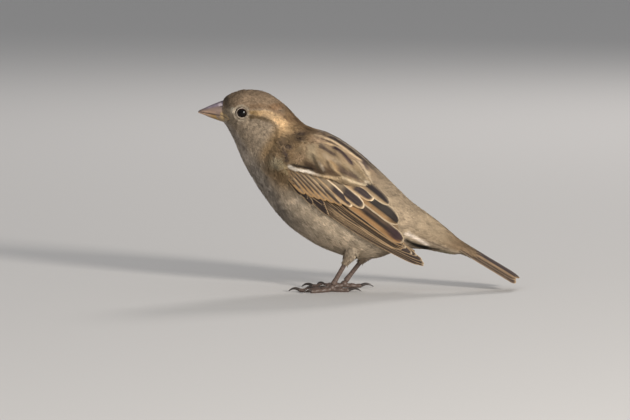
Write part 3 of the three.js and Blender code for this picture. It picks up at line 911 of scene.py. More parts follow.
def eye_places(seed):
    """Roots round an eye, and headings that part in front of it and flow back."""
    made = np.random.default_rng(seed)
    found = []
    for r in EYE_RINGS:
        count = int(2 * math.pi * r / EYE_SPACING)
        turn = (np.arange(count) + made.normal(0, 0.2, count)) / count * 2 * math.pi
        found.append(np.stack([np.full(count, r), turn], -1))
    r, turn = np.vstack(found).T
    turned = turn - EYE_FLOW
    return r, turn, np.arctan2(-np.sin(turned), np.maximum(np.cos(turned), 0.22))


def off_mantle(s, a):
    return ~((np.cos(a) > 0.55) & (s > 9.6) & (s < 14.6))


# length, width, root's depth, barbs, seed
for name, right in BOTH:
    r, turn, heading = eye_places(80)
    fans(f"coat_eye_{name}", EyeCoat(right), r, turn, 0.85, 0.22, 0.22, 4, 81, turn=heading,
         tone=0.13, own_share=0.85)
for name in LEGS:
    d, a = thigh_places(70)
    fans(f"coat_thigh_{name}", LegCoat(name), d, a, 2.6, 0.7, 0.8, 6, 71, tone=0.16)

# first and last station and spacing, then the same
coat("coat_face", 0.0, 3.0, 0.48, 1.6, 0.44, 0.45, 5, 21, frill=1.3, tone=0.16)
coat("coat_head", 3.0, 7.4, 0.68, 2.8, 0.68, 0.7, 6, 22, tone=0.17, streak=0.12)
coat("coat_neck", 7.4, 10.2, 0.95, 4.8, 1.0, 1.2, 7, 23, tone=0.2, streak=0.12)
coat("coat_breast", 10.2, 13.6, 1.1, 6.3, 1.1, 1.7, 8, 24, off_mantle, tone=0.17, streak=0.15)
coat("coat_belly", 13.6, 17.0, 1.15, 7.2, 1.15, 1.9, 8, 25, off_mantle, tone=0.18, streak=0.15)
coat("coat_rump", 17.0, 21.4, 1.05, 6.8, 1.15, 1.3, 8, 26, tone=0.13, streak=0.06, own_share=0.85)


# ---- flight feathers and coverts

DARK = (0.036, 0.027, 0.024)
BROWN = (0.125, 0.082, 0.052)
SOFT_BROWN = (0.20, 0.14, 0.085)
GREY_BROWN = (0.235, 0.18, 0.13)
BUFF = (0.42, 0.29, 0.165)
RUFOUS = (0.34, 0.205, 0.095)
CREAM = (0.66, 0.515, 0.345)
WHITE = (0.74, 0.655, 0.55)
OLIVE = (0.26, 0.19, 0.11)

HALF_VANE = np.array([0.04, 0.16, 0.45, 0.7, 0.85, 0.94, 1.0])
ACROSS = np.concatenate([-HALF_VANE[::-1], HALF_VANE])
MAP_COLUMNS, MAP_ROWS = 12, 16


def vane_tint(f, u, v, gaps, made):
    """One vane's colours: two webs, dark blots, a shaft and fringes of their own widths."""
    centre = np.asarray(f.get("centre", BROWN), float)
    tint = paint(
        centre,
        (f.get("lower_web", centre), smooth(0.05, -0.25, u) + 0 * v),
        (f.get("upper_web", centre), smooth(-0.05, 0.25, u)),
    )
    for v0, v1, u0, u1, colour in f.get("blots", ()):
        weight = smooth(v0 - 0.08, v0 + 0.08, v) * smooth(v1 + 0.05, v1 - 0.05, v)
        weight = weight * smooth(u0 - 0.16, u0 + 0.10, u) * smooth(u1 + 0.16, u1 - 0.10, u)
        tint = mix(tint, colour, weight)
    for key, gap, on in zip(("low", "high", "tip"), gaps, (u < 0, u >= 0, True)):
        reach = f.get(f"{key}_fringe", f.get("fringe", 0.4))
        colour = f.get(f"{key}_edge", f.get("edge", BUFF))
        if reach:
            tint = mix(tint, colour, smooth(reach * 1.35, reach * 0.65, gap) * on)
    tint = mix(tint, centre * 0.5, np.exp(-((u / 0.06) ** 2)) * f.get("shaft", 0.5))
    barbs = made.normal(0, 0.045, (len(v), len(ACROSS)))
    return tint * (1 + made.normal(0, 0.05) + made.normal(0, 0.04, (len(v), 1)) + barbs)[..., None]


def lay_vane(f, number, place, u, v, made):
    """One vane's points, tint, places across and along it, and map."""
    root, tip = np.array(f["root"], float), np.array(f["tip"], float)
    way = tip - root
    length = np.hypot(*way)
    way /= length
    blunt, point = f.get("blunt", 0.22), f.get("point", 0.0)
    start = 1 - blunt
    end = np.sqrt(np.clip(1 - (np.clip(v - start, 0, 1) / blunt) ** 2, 0, 1))
    end = end * (1 - point) + point * np.clip((1 - v) / blunt, 0, 1) ** 0.8
    swell = 1 - f.get("taper", 0.45) * smooth(0.35, 0.0, v)
    half = np.where(u < 0, f["lower"], f["upper"]) * swell * end
    ragged = 1 + made.normal(0, f.get("ragged", 0.02), (len(v), 1)) * np.abs(u) ** 6
    across = u * half * ragged
    back = 0.25 * np.abs(u) ** 1.5 * half
    along = v * length - back * np.where(v > start, 0.4, 1.0)
    aside = across + f.get("bow", 0.0) * 4 * v * (1 - v)
    p = root[0] + way[0] * along - way[1] * aside
    q = root[1] + way[1] * along + way[0] * aside
    low, high = f.get("low", -0.9), f.get("high", 0.0)
    height = low + (high - low) * smooth(0.0, 0.8, v)
    height = height - f.get("tilt", 0.1) * (u + 1) / 2 * np.minimum(half * 2, 4)
    height = height + 0.08 * np.exp(-((u / 0.1) ** 2)) - f.get("cup", 0.12) * u**2
    height = height + made.normal(0, 0.04) * v
    gaps = (1 + np.minimum(u, 0)) * half, (1 - np.maximum(u, 0)) * half, (1 - v) * length
    row, column = divmod(number, MAP_COLUMNS)
    uv = np.stack([
        (column + 0.5 + 0.4 * u + 0 * v) / MAP_COLUMNS, (row + 0.05 + 0.9 * v + 0 * u) / MAP_ROWS
    ], -1)
    return place(p, q, height), vane_tint(f, u, v, gaps, made), across, along, np.clip(uv, 0, 1)


def vane_piece(name, place, feathers, seed, rows, nodes=(), tone=1.0):
    """Vanes on a chart. Each is a dict with its root, tip, half widths and colours.

    lower and upper are the half widths on the two sides of the shaft; low and high are the heights
    of the root and the tip over the chart's face; tilt raises the lower edge over the upper one.
    """
    made = np.random.default_rng(seed)
    u = ACROSS[None, :]
    v = 1 - (1 - np.linspace(0, 1, rows)[:, None]) ** 1.5
    vanes = [lay_vane(f, number, place, u, v, made) for number, f in enumerate(feathers)]
    points, tint, across, along, uv = (np.array(stack) for stack in zip(*vanes))
    faces = sheet_faces(len(feathers), rows, len(ACROSS))
    piece = make_mesh(name, points, faces, tint * tone, uv, {"across": across, "along": along})
    return dress(piece, VANE, nodes)


def between(first, last, count):
    """Evenly spaced places from the first to the last."""
    first, way = np.array(first), np.array(last) - np.array(first)
    return [first + way * k / (count - 1) for k in range(count)]


def primaries():
    """The nine primaries that show, then the alula's three feathers."""
    tips = [(60.8, 0.6), (61.6, 0.9), (62.2, 1.3), (65.8, 0.7), (67.8, 1.1), (71.0, 0.7),
            (72.3, 0.0), (72.6, -0.7), (70.6, -1.5)]
    leads = [-2.6, -3.05, -3.5, -3.9, -4.3, -4.65, -5.0, -5.35, -5.75]
    made = []
    for k in range(8, -1, -1):
        made.append(dict(
            root=(22, leads[k] + 1.2), tip=tips[k], lower=0.8, upper=2.5 - 0.12 * k, bow=-1.0,
            low=-0.9 - 0.07 * k, high=-0.35 - 0.07 * k, centre=(0.07, 0.05, 0.037), edge=BUFF,
            fringe=0.22, low_fringe=0.2, tip_fringe=0.5, tip_edge=CREAM, blunt=0.14, point=0.2,
            tilt=0.06, blots=[(0.82, 0.985, -0.9, 0.8, (0.055, 0.04, 0.034))],
        ))
    # the alula
    tips = [(14.5, -4.9), (17.5, -4.6), (20.5, -5.2)]
    for root, tip in zip(between((3, -1.5), (9, -3.2), 3), tips):
        made.append(dict(root=root, tip=tip, lower=0.9, upper=1.3, low=-0.5, high=0.1,
                         centre=DARK, edge=BUFF, fringe=0.18, tilt=0.08))
    return made


def secondaries():
    """The six secondaries, then the primary coverts."""
    tips = [(58.5, -1.2), (60.0, -0.7), (61.0, -0.1), (61.3, 0.6), (60.8, 1.3), (59.8, 1.8)]
    leads = [-2.1, -1.4, -0.7, 0.0, 0.75, 1.5]
    made = []
    for k in range(6):
        made.append(dict(
            root=(20, leads[k] + 1.6), tip=tips[k], lower=0.95, upper=2.4, bow=-0.5,
            low=-0.95 + 0.05 * k, high=-0.4 + 0.05 * k, centre=(0.038, 0.027, 0.02), edge=BUFF,
            low_fringe=0.34, fringe=0.22, low_edge=mix(BUFF, RUFOUS, k / 6), tip_fringe=0.4,
            blunt=0.13, tilt=0.06,
        ))
    # the primary coverts
    for root, tip in zip(between((8, -1.5), (12, -3.2), 7), between((24.5, -2.6), (28.4, -5.2), 7)):
        made.append(dict(root=root, tip=tip, lower=0.8, upper=1.2, low=-0.5, high=-0.1,
                         centre=DARK, edge=BUFF, fringe=0.16, tilt=0.08))
    return made


def tertials():
    """The three tertials, the lowest first."""
    low_web = (0.42, 0.235, 0.105)
    return [
        dict(root=(20, 4.6), tip=(59.8, 2.9), lower=2.7, upper=2.6, bow=0.5, low=-0.7, high=0.0,
             centre=(0.12, 0.08, 0.055), lower_web=low_web, edge=CREAM, low_edge=BUFF,
             low_fringe=0.35, fringe=0.35, tip_fringe=0.5, blunt=0.12, tilt=0.04,
             blots=[(0.45, 0.93, -0.2, 0.3, DARK), (0.8, 0.97, -0.5, 0.9, (0.06, 0.036, 0.038))]),
        dict(root=(20, 8.8), tip=(53.9, 7.9), lower=2.5, upper=3.6, bow=0.6, low=-0.5, high=0.2,
             centre=DARK, lower_web=(0.43, 0.26, 0.125), edge=CREAM, fringe=0.5,
             tip_fringe=0.7, blunt=0.2, tilt=0.03,
             blots=[(0.5, 0.97, -0.12, 0.9, (0.062, 0.052, 0.045)), (0.9, 0.965, -0.6, 0.9, DARK)]),
        dict(root=(20, 13.4), tip=(46.3, 12.2), lower=2.0, upper=2.0, bow=0.5, point=0.2, low=-0.3,
             high=0.3, centre=(0.10, 0.08, 0.065), lower_web=BUFF, edge=CREAM,
             high_edge=GREY_BROWN, fringe=0.5, tip_fringe=0.6, blunt=0.2, tilt=0.03,
             blots=[(0.4, 0.96, -0.15, 0.95, (0.045, 0.036, 0.036))]),
    ]


def greater_coverts():
    roots = [(1, -0.5), (2.4, 0.8), (3.8, 1.6), (5.3, 2.4), (7.3, 3.3), (10.4, 4.0), (13.5, 5.3),
             (18, 7.2), (22, 10.6)]
    tips = [(15.5, -3.6), (19, -2.7), (21.5, -1.8), (24.0, -0.9), (27.0, 0.2), (30.2, 1.2), (34.0, 3.2),
            (38.3, 5.5), (39.8, 10.3)]
    made = []
    for k, (root, tip) in enumerate(zip(roots, tips)):
        big = float(smooth(4, 7.5, k))
        web = mix(GREY_BROWN, OLIVE, 0.4) * (0.8 + 0.08 * big)
        blots = [(0.2, 0.9 - 0.1 * (k < 5), -0.1, 0.3, (0.06, 0.04, 0.03))]
        if k == 5:
            blots = [(0.35, 0.94, -0.35, 0.3, (0.05, 0.035, 0.03))]
        if k >= 6:
            wide = 0.35 + 0.25 * (k - 6)
            blots = [(0.45, 0.94, -min(wide, 0.7), 0.75, (0.04, 0.03, 0.03))]
        made.append(dict(
            root=root, tip=tip, lower=1.2 + 0.8 * big, upper=1.4 + 1.1 * big, low=-0.5, high=0.42,
            centre=web, edge=CREAM if k > 5 else BUFF, low_edge=BUFF if k > 5 else RUFOUS,
            lower_web=mix(RUFOUS, BUFF, 0.3 + 0.5 * big), upper_web=web, fringe=0.42,
            low_fringe=0.5, tip_fringe=0.8 if k > 5 else 0.7, tip_edge=CREAM if k > 5 else RUFOUS,
            blunt=0.25, tilt=0.08, ragged=0.03, blots=blots, shaft=0.35, taper=0.1,
        ))
    return made


# ---- shoulder: scapulars and small coverts

BAR_LINE = [(4.0, 1.8), (5.8, 2.1), (7.6, 2.8), (10.5, 4.3), (13.1, 5.3), (16.4, 6.4)]
# line, half width in mm, colour, strength
SHOULDER_LINES = [
    ([(6.2, 14.6), (7.0, 12.8), (9.0, 10.8)], 1.8, (0.36, 0.285, 0.185), 0.6),
    ([(13.4, 13.7), (16.5, 13.9), (19.2, 14.9)], 0.8, (0.40, 0.31, 0.21), 0.6),
    ([(16.2, 13.3), (18.9, 12.8), (21.4, 11.7)], 0.5, (0.36, 0.225, 0.11), 0.6),
    ([(8.9, 6.8), (12.0, 7.3), (16.4, 7.7)], 1.1, (0.065, 0.042, 0.026), 0.95),
    ([(16.2, 9.2), (19.3, 9.7), (22.4, 10.2)], 1.1, (0.07, 0.044, 0.026), 0.95),
    ([(9.6, 10.9), (11.6, 9.3), (13.8, 8.2)], 0.6, (0.075, 0.056, 0.036), 0.85),
    ([(13.0, 10.2), (14.8, 9.4), (16.0, 8.8)], 0.5, (0.33, 0.27, 0.20), 0.7),
    ([(15.6, 12.2), (17.4, 10.9), (19.2, 10.1)], 0.6, (0.08, 0.052, 0.032), 0.9),
    ([(18.4, 12.6), (20.6, 11.5), (22.6, 11.2)], 0.4, (0.40, 0.28, 0.15), 0.75),
    ([(21.4, 12.4), (24.4, 12.9), (29.0, 14.0)], 0.75, (0.085, 0.055, 0.042), 0.9),
    ([(19.9, 13.8), (22.7, 13.3), (25.5, 12.9)], 0.6, (0.15, 0.105, 0.075), 0.75),
    ([(25.3, 14.3), (28.6, 13.7), (31.0, 13.3)], 0.5, (0.13, 0.095, 0.07), 0.75),
    ([(22.5, 15.6), (27.0, 15.2), (31.0, 14.6)], 0.5, (0.38, 0.30, 0.195), 0.6),
    ([(0.6, 12.5), (2.0, 12.8)], 0.6, (0.09, 0.065, 0.055), 0.8),
    ([(-1.3, 7.6), (0.1, 7.9)], 0.6, (0.09, 0.065, 0.055), 0.8),
    ([(-0.7, 5.5), (0.9, 4.7), (1.9, 3.1)], 0.6, (0.08, 0.058, 0.055), 0.85),
    ([(-0.3, 13.8), (3.2, 17.0)], 0.3, (0.09, 0.065, 0.045), 0.7),
    ([(2.7, 18.6), (6.2, 20.6), (11.2, 21.8), (17.6, 22.1), (23.7, 21.7), (27.2, 20.8)], 0.75,
     (0.07, 0.05, 0.052), 0.9),
    ([(7.2, 17.8), (10.0, 18.6), (13.8, 19.6), (15.7, 19.8)], 0.3, (0.085, 0.058, 0.045), 0.85),
    ([(9.2, 16.2), (11.4, 17.1)], 0.35, (0.09, 0.075, 0.065), 0.8),
    ([(3.3, 17.4), (7.5, 18.7), (12.3, 20.2), (16.3, 20.5), (19.7, 20.4), (24.3, 20.2),
      (27.5, 20.2)], 0.34, (0.64, 0.49, 0.31), 1.0),
    ([(7.0, 16.4), (11.9, 18.2), (16.5, 19.3), (20.2, 19.4)], 0.28, (0.56, 0.41, 0.25), 0.95),
    ([(14.7, 18.3), (16.6, 18.6), (19.2, 18.4), (22.2, 17.6), (24.3, 17.1)], 0.68,
     (0.036, 0.023, 0.03), 1.0),
    ([(9.6, 15.3), (11.5, 15.8), (14.3, 15.9), (16.7, 16.0)], 0.5, (0.055, 0.038, 0.034), 0.95),
    ([(27.5, 20.2), (29.3, 19.7), (31.3, 18.9)], 0.6, (0.07, 0.05, 0.055), 0.9),
    ([(25.1, 18.9), (29.3, 17.6), (33.2, 16.1)], 0.25, (0.10, 0.07, 0.05), 0.8),
    ([(26.0, 19.3), (28.4, 18.9), (32.4, 17.3), (35.5, 15.8)], 0.3, (0.62, 0.50, 0.35), 0.95),
    ([(23.9, 18.7), (27.9, 17.8), (31.2, 16.5), (33.6, 15.4)], 0.25, (0.50, 0.38, 0.24), 0.8),
    ([(16.4, 6.4), (18.7, 7.3), (22.4, 9.0), (24.2, 10.6)], 0.36, (0.60, 0.44, 0.26), 0.95),
    ([(24.1, 10.8), (28.1, 11.5), (31.5, 12.5), (34.9, 13.6)], 0.38, (0.68, 0.54, 0.36), 0.95),
    ([(33.4, 14.2), (35.2, 15.2)], 0.5, (0.72, 0.61, 0.46), 0.95),
    ([(0, 0.5), (2.2, 0.2), (4, -1.2)], 1.3, (0.38, 0.30, 0.17), 0.7),
    ([(4.6, 3.2), (7.0, 4.15), (8.5, 4.9), (11.2, 6.0), (12.4, 6.4)], 0.46, (0.012, 0.009, 0.008), 1.0),
]
SHOULDER = (0.275, 0.198, 0.118)
LESSER = (0.215, 0.148, 0.086)


class WingCoat:
    """Feather places on the shoulder of a folded wing, in the wing's own p and q."""

    def __init__(self, wing):
        self.wing = wing

    def point(self, p, q, depth):
        under_mantle = 0.6 * smooth(14.5, 17.5, q)
        if self.wing.right:
            under_mantle = under_mantle + 0.9 * smooth(13.0, 16.0, q) * smooth(28, 20, p)
        rise = 0.5 + 0.25 * smooth(4, 12, q) - 0.35 * smooth(1.0, -3.0, q) - under_mantle
        return self.wing.point(p, q, rise - depth)

    def scale(self, p, q):
        return np.ones(len(p)), np.ones(len(p))

    def patch(self, p, q):
        return (p + 12) / 60, (q + 10) / 40

    def colour(self, points, p, q, seed):
        d, t = to_line(p, q, BAR_LINE)
        width = 0.56 - 0.22 * t + 0.12 * wave_noise(p, q, 0 * p, 0.5, 93)
        white = mix(WHITE, BUFF, 0.7 * smooth(0.72, 1.0, t))
        tint = mix(SHOULDER, LESSER, smooth(11, 7, q))
        tint = mix(tint, white, smooth(width * 1.5, width * 0.7, d))
        tint = draw(tint, p, q, SHOULDER_LINES, 1.6, 0.5)
        tint = tint * (1 - 0.2 * smooth(19, 24, p) * smooth(18, 15, q))[..., None]
        mottle = wave_noise(p, q, 0 * p, 0.8, 91)
        streaks = wave_noise(p * 0.3, q * 1.4, 0 * p, 0.8, 92)
        return tint * (1 + 0.1 * mottle + 0.2 * streaks)[..., None]


def scapular_edge(p):
    """The lower edge of the shoulder's feathers: the bar, then the scapulars' cream line."""
    return np.interp(p, [-2, 1, 3.6, 8, 13, 18, 21.4, 26, 31, 34.9, 36],
                     [-2, -1.5, 0.6, 2.3, 4.5, 6.4, 8.0, 9.2, 11.3, 14.0, 16.0])


def shoulder_places(seed):
    """Roots, lengths, widths and headings of the shoulder's feathers, far rows first."""
    made = np.random.default_rng(seed)
    found = []
    step = 1.05
    for tip_p in np.arange(0.5, 36, step):
        row = int(tip_p / step)
        for tip_q in np.arange(-3.5, 21.0, 0.85):
            p = tip_p + made.normal(0, 0.25)
            q = tip_q + 0.42 * (row % 2) + made.normal(0, 0.17)
            edge = scapular_edge(p)
            if q < edge or q > 17.0 or q > profile(WING_UPPER, min(p, 30)) + 1.2:
                continue
            size = 0.7 + 0.5 * smooth(6, 14, q) + 0.35 * smooth(14, 26, p)
            turn = -0.28 + 0.12 * smooth(8, 14, q) + 0.25 * smooth(20, 32, p) * (q < 13.5)
            found.append((p, q, size, turn))
        if tip_p < 13:
            for tip_q in np.arange(-3.2, 0.8, 1.0):
                p = tip_p + made.normal(0, 0.2)
                q = tip_q + made.normal(0, 0.2)
                if q > scapular_edge(p) or q < profile(WING_LOWER, p) + 0.5 or q > 1.2 - 0.42 * p:
                    continue
                found.append((p, q, 0.6, -0.45))
    for p in np.arange(2.0, 35.0, 0.5):
        turn = -0.34 + 0.3 * smooth(18, 30, p)
        at = p + made.normal(0, 0.12)
        found.append((at, scapular_edge(p) - 0.15 + made.normal(0, 0.1), 0.62, turn))
    p, q, size, turn = (np.array(column) for column in zip(*found))
    length = 5.0 * size
    return p - length * np.cos(turn), q - length * np.sin(turn), length, 0.92 * size**0.5, turn


# ---- mantle: feathers in dark-streaked lanes

DEGREES = 57.3  # in a radian
# degrees from the middle of the back, half width in degrees, colour; the pale lane at 5 degrees is a
# painted rim highlight along the top of the back
MANTLE_LANES_AND_RIM = [(5.0, 1.9, (0.48, 0.40, 0.31)), (11.5, 0.8, (0.15, 0.11, 0.09))]
# side view line, half width in mm, colour, strength
MANTLE_LINES = [
    ([(-8.6, 51.3), (-6.6, 49.3), (-4.5, 47.2)], 0.6, (0.15, 0.105, 0.075), 0.7),
    ([(-16.8, 62.2), (-14.1, 61.3), (-10.3, 60.0), (-8.6, 59.0)], 0.3, (0.085, 0.058, 0.045), 0.9),
    ([(-20.2, 64.2), (-16.1, 62.9), (-11.3, 61.2), (-7.9, 59.1), (-5.2, 57.1), (-1.5, 54.4),
      (1.2, 52.7)], 0.36, (0.66, 0.51, 0.33), 1.0),
    ([(-17.8, 61.2), (-12.7, 59.8), (-8.3, 58.1), (-5.2, 56.1)], 0.3, (0.58, 0.43, 0.26), 0.95),
    ([(-10.3, 58.3), (-8.6, 57.4), (-6.6, 55.7), (-4.5, 53.3), (-3.2, 51.6)], 0.62,
     (0.036, 0.023, 0.03), 1.0),
    ([(-16.3, 58.6), (-14.4, 57.9), (-12.0, 56.4), (-10.0, 55.0)], 0.5, (0.055, 0.038, 0.034), 0.95),
    ([(1.2, 52.7), (2.4, 51.1), (3.6, 49.3)], 0.6, (0.07, 0.05, 0.055), 0.9),
    ([(-1.5, 52.8), (1.2, 49.3), (3.6, 45.7)], 0.25, (0.10, 0.07, 0.05), 0.8),
    ([(-0.5, 52.7), (1.2, 51.0), (3.6, 47.2), (5.3, 44.2)], 0.3, (0.62, 0.50, 0.35), 0.95),
    ([(-2.5, 53.3), (0.2, 50.3), (2.3, 47.2), (3.6, 44.8)], 0.25, (0.50, 0.38, 0.24), 0.8),
]


class MantleCoat(BodyCoat):
    """The mantle's colours: dark lanes between buff ones, and a painted rim highlight along the top of
    the back.
    """

    def colour(self, points, s, a, seed):
        x, y, z = np.moveaxis(points, -1, 0)
        lane = np.abs(a) * DEGREES + 1.5 * wave_noise(x, y, z, 4.0, 77)
        # the right wing hangs otherwise, so its marks are looked up where the left wing has them
        moved = WINGS["left"].side_view(*WINGS["right"].chart(x, z))
        x, z = np.where(y > 0, moved[0], x), np.where(y > 0, moved[1], z)
        side = WINGS["left"].chart(x, z)
        tint = mix(MANTLE, MANTLE_DARK, smooth(18.5, 15.5, lane) * 0.93)
        for middle, width, colour in MANTLE_LANES_AND_RIM:
            tint = mix(tint, colour, bell(lane, middle, width))
        v = seen_height(y, z)
        tint = draw(tint, x, v, MANTLE_LINES, 1.6, 0.5)
        return paint(
            tint,
            (WingCoat.colour(None, None, *side, seed), smooth(36, 42, lane)),
            (RUMP, smooth(13.4, 15.2, s)),
            (NAPE, smooth(10.6, 9.8, s) * 0.7),
        )


def mantle_places():
    """Roots over the back between the wings."""
    made = np.random.default_rng(27)
    s, a = spread(0.92, 9.3, 14.8, 27)
    a = a + made.normal(0, 0.01, len(a))
    kept = np.cos(a) > 0.5
    return s[kept], a[kept]


s, a = mantle_places()
fans("coat_mantle", MantleCoat(), s, a, 4.7, 0.85, 1.3 + 0.6 * smooth(12.6, 14.4, s), 9, 28,
     tone=0.09, stray=0.025, own_share=0.92, frill=0.7, lift=0.45 * smooth(0.85, 0.65, np.cos(a)))


def wing_core(wing):
    """The wing under its feathers, from the chart's face inwards."""
    rows, cols = 46, 12
    p = np.linspace(0.5, 66, rows)[:, None] + np.zeros((1, cols))
    low, high = profile(WING_LOWER, p) + 1.0, profile(WING_UPPER, p) - 1.0
    q = low + (high - low) * np.linspace(0, 1, cols)[None, :]
    outer, inner = wing.point(p, q, -1.5), wing.point(p, q, -2.6)
    points = np.concatenate([outer, inner[:, ::-1]], 1).reshape(-1, 3)
    return points, ring_faces(rows, cols * 2)


WING_NODES = ("coverts", "secondaries", "primaries")
WING_GROUPS = {"primaries": primaries, "secondaries": secondaries, "tertials": tertials,
               "greater": greater_coverts}
WING_TONE = {"primaries": 0.8, "secondaries": 0.92, "tertials": 0.6, "greater": 0.95}

for name, wing in WINGS.items():
    points, faces = wing_core(wing)
    core = make_mesh(f"wing_{name}_core", points, faces, np.broadcast_to(SOFT_BROWN, points.shape))
    dress(core, SKIN, [f"wing_{name}_{part}" for part in WING_NODES])
    for number, (part, feathers) in enumerate(WING_GROUPS.items()):
        vane_piece(f"wing_{name}_{part}_feathers", wing.point, feathers(), 40 + number, 22,
                   tone=WING_TONE[part])
    p, q, length, width, turn = shoulder_places(50)
    if wing.right:
        # this wing's upper edge goes further under the mantle, which covers the rest
        seen = (q < 14.8) | (p < 8) | (p > 19)
        p, q, length, width, turn = (v[seen] for v in (p, q, length, width, turn))
    fans(f"wing_{name}_shoulder", WingCoat(wing), p, q, length, width, 1.0, 8, 51, turn=turn,
         tone=0.12, slot="wing", own_share=0.88)


# ---- tail

TAIL = dict(tip_x=65.786, tip_z=3.7, slope=31.5, shown=34.0, half=3.1, step=0.16, spread=0.88,
            splay=1.1, notch=1.6, lean=11.5)


def tail_place(along, across, height):
    """A point on the tail: mm from its root, from its middle line, and over its upper face."""
    slope, lean = math.radians(TAIL["slope"]), math.radians(TAIL["lean"])
    c, s = math.cos(slope), math.sin(slope)
    y = across * math.cos(lean) - height * math.sin(lean)
    up = across * math.sin(lean) + height * math.cos(lean)
    x = TAIL["tip_x"] - TAIL["shown"] * c + along * c + up * s
    z = TAIL["tip_z"] + TAIL["shown"] * s - along * s + up * c
    return np.stack([x, y, z], -1)


# the near strips of the tail, from the middle pair out: tan, two dark lines and a pale edge
NEAR_STRIPS = [(0.265, 0.18, 0.11), (0.13, 0.09, 0.065), (0.30, 0.215, 0.135), (0.11, 0.078, 0.06),
               (0.27, 0.19, 0.12), (0.42, 0.32, 0.22)]


def tail_feathers():
    made = []
    tan, line, dark_brown_and_shade = (0.265, 0.18, 0.11), (0.06, 0.042, 0.036), (0.05, 0.037, 0.037)
    for pair in range(5, -1, -1):
        for side in (-1, 1):
            near = side < 0
            start = -8.0 + 2.9 * pair * near
            end = TAIL["shown"] - TAIL["notch"] * (1 - smooth(0, 5, pair)) - 0.25 * pair * near
            offset = side * (0.35 + pair * TAIL["spread"])
            splay = math.radians(pair / 5 * TAIL["splay"]) * (0.25 if near else 1)
            height = 0.5 - pair * TAIL["step"] - 0.09 * near
            # the far half is painted near-black: partly the feathers' dark brown, partly painted shade,
            # since both halves' feathers are alike
            look = dict(centre=dark_brown_and_shade, fringe=0.0, tip_fringe=0.3, high_fringe=0.16,
                        high_edge=(0.15, 0.115, 0.09), blots=[(0.93, 0.985, -0.8, 0.8, line)])
            if near:
                look.update(centre=NEAR_STRIPS[pair], low_fringe=0.2, low_edge=NEAR_STRIPS[pair])
                look["blots"] = [(0.0, 0.98, -0.86, -0.74, line)]
                if pair > 2:
                    look["blots"].append((0.9, 0.985, -0.9, 0.6, line))
            elif pair == 0:
                look.update(lower_web=tan)
            made.append(dict(
                root=(start, offset + start * math.tan(splay)),
                tip=(end, offset + end * math.tan(splay)),
                lower=TAIL["half"], upper=TAIL["half"], low=height, high=height,
                edge=BUFF, blunt=0.09, tilt=0.0, cup=0.1, shaft=0.95, **look,
            ))
    return made


vane_piece("tail_feathers", tail_place, tail_feathers(), 60, 26, ["tail"])


# ---- bill

BILL = np.array([
    # x, ridge, edge, under, half width
    (-65.9, 73.55, 73.1, 72.75, 0.25), (-65.2, 74.0, 73.05, 72.6, 0.5),
    (-63.2, 74.85, 72.8, 71.8, 1.25), (-61.2, 75.8, 72.55, 70.95, 2.05),
    (-59.1, 76.65, 72.15, 70.2, 2.85), (-57.0, 77.5, 71.6, 69.5, 3.5),
    (-55.2, 78.1, 70.9, 68.9, 3.9),
])
CULMEN = (0.125, 0.09, 0.10)
BILL_VIOLET = (0.25, 0.20, 0.25)
BILL_SIDE = (0.20, 0.142, 0.118)
BILL_PINK = (0.37, 0.24, 0.16)
BILL_OCHRE = (0.27, 0.165, 0.055)
BILL_DARK = (0.04, 0.028, 0.022)
BILL_TIP = (0.10, 0.07, 0.055)
GAPE_OCHRE = (0.30, 0.205, 0.10)
BILL_LILAC_HIGHLIGHT = (0.50, 0.43, 0.45)


BILL_ROOT, BILL_GAP = -54.2, 0.05


def mandible(key, crest_column, sign, narrowing):
    """One half of the bill: a rounded outer side, and a flat inner side along the edge."""
    rows, arch, flat = 48, 28, 8
    share = np.linspace(0, 1, rows) ** 1.15
    x = BILL[0, 0] + (BILL_ROOT - BILL[0, 0]) * share
    crest, edge, half = (profile(BILL[:, [0, k]], x)[:, None] for k in (crest_column, 2, 4))
    edge, half = edge + sign * BILL_GAP, half * narrowing
    angle = np.linspace(0, math.pi, arch + 1)
    rounded = np.sin(angle) ** 0.85
    inner = np.linspace(-1, 1, flat + 1)[1:-1]
    up = np.concatenate([rounded, np.zeros(flat - 1)])
    y = half * np.concatenate([np.cos(angle), inner])
    z = edge + (crest - edge) * up
    points = np.stack([np.broadcast_to(x[:, None], y.shape), y, z], -1)
    x, along = points[..., 0], share[:, None] + 0 * y
    if key == "upper":
        tint = paint(
            BILL_SIDE,
            (CULMEN, smooth(0.55, 0.9, up)),
            (BILL_PINK, bell(up, 0.22, 0.2) * smooth(0.9, 0.3, along) * 0.8),
            (BILL_VIOLET, bell(up, 0.82, 0.11) * smooth(0.15, 0.4, along) * 0.75),
            (BILL_DARK, smooth(0.12, 0.0, up) * 0.7),
            (BILL_TIP, smooth(0.3, 0.03, along) * 0.85),
            (GAPE_OCHRE, smooth(0.72, 0.9, along) * smooth(0.55, 0.25, up) * 0.8),
            # a painted lilac highlight by the nostril
            (BILL_LILAC_HIGHLIGHT, spot(x, z, (-56.7, 76.3), (1.2, 0.7), 1.2, 0.4) * 0.85),
            # the nostril
            (BILL_DARK, spot(x, z, (-56.5, 75.7), (0.5, 0.35), 1.3, 0.7)),
        )
    else:
        tint = paint(
            BILL_PINK,
            (BILL_OCHRE, smooth(0.25, 0.6, along)),
            (BILL_DARK, smooth(0.12, 0.0, up) * 0.6),
        )
    tint = tint * (1 + 0.12 * wave_noise(x * 0.5, y, z, 0.35, 9))[..., None]
    piece = make_mesh(f"bill_{key}_horn", points, ring_faces(rows, arch + flat, inward=True), tint)
    dress(piece, HORN, [f"bill_{key}"])


# the soft gape at each corner of the bill, in the side view: x, lower edge, lip, upper edge
GAPE = [(-58.6, 70.6, 71.95, 72.7), (-56.6, 69.3, 71.55, 73.5), (-55.2, 68.8, 70.9, 72.9),
        (-54.2, 68.9, 70.4, 71.8), (-53.3, 69.4, 70.15, 70.9), (-52.7, 70.0, 70.05, 70.1)]


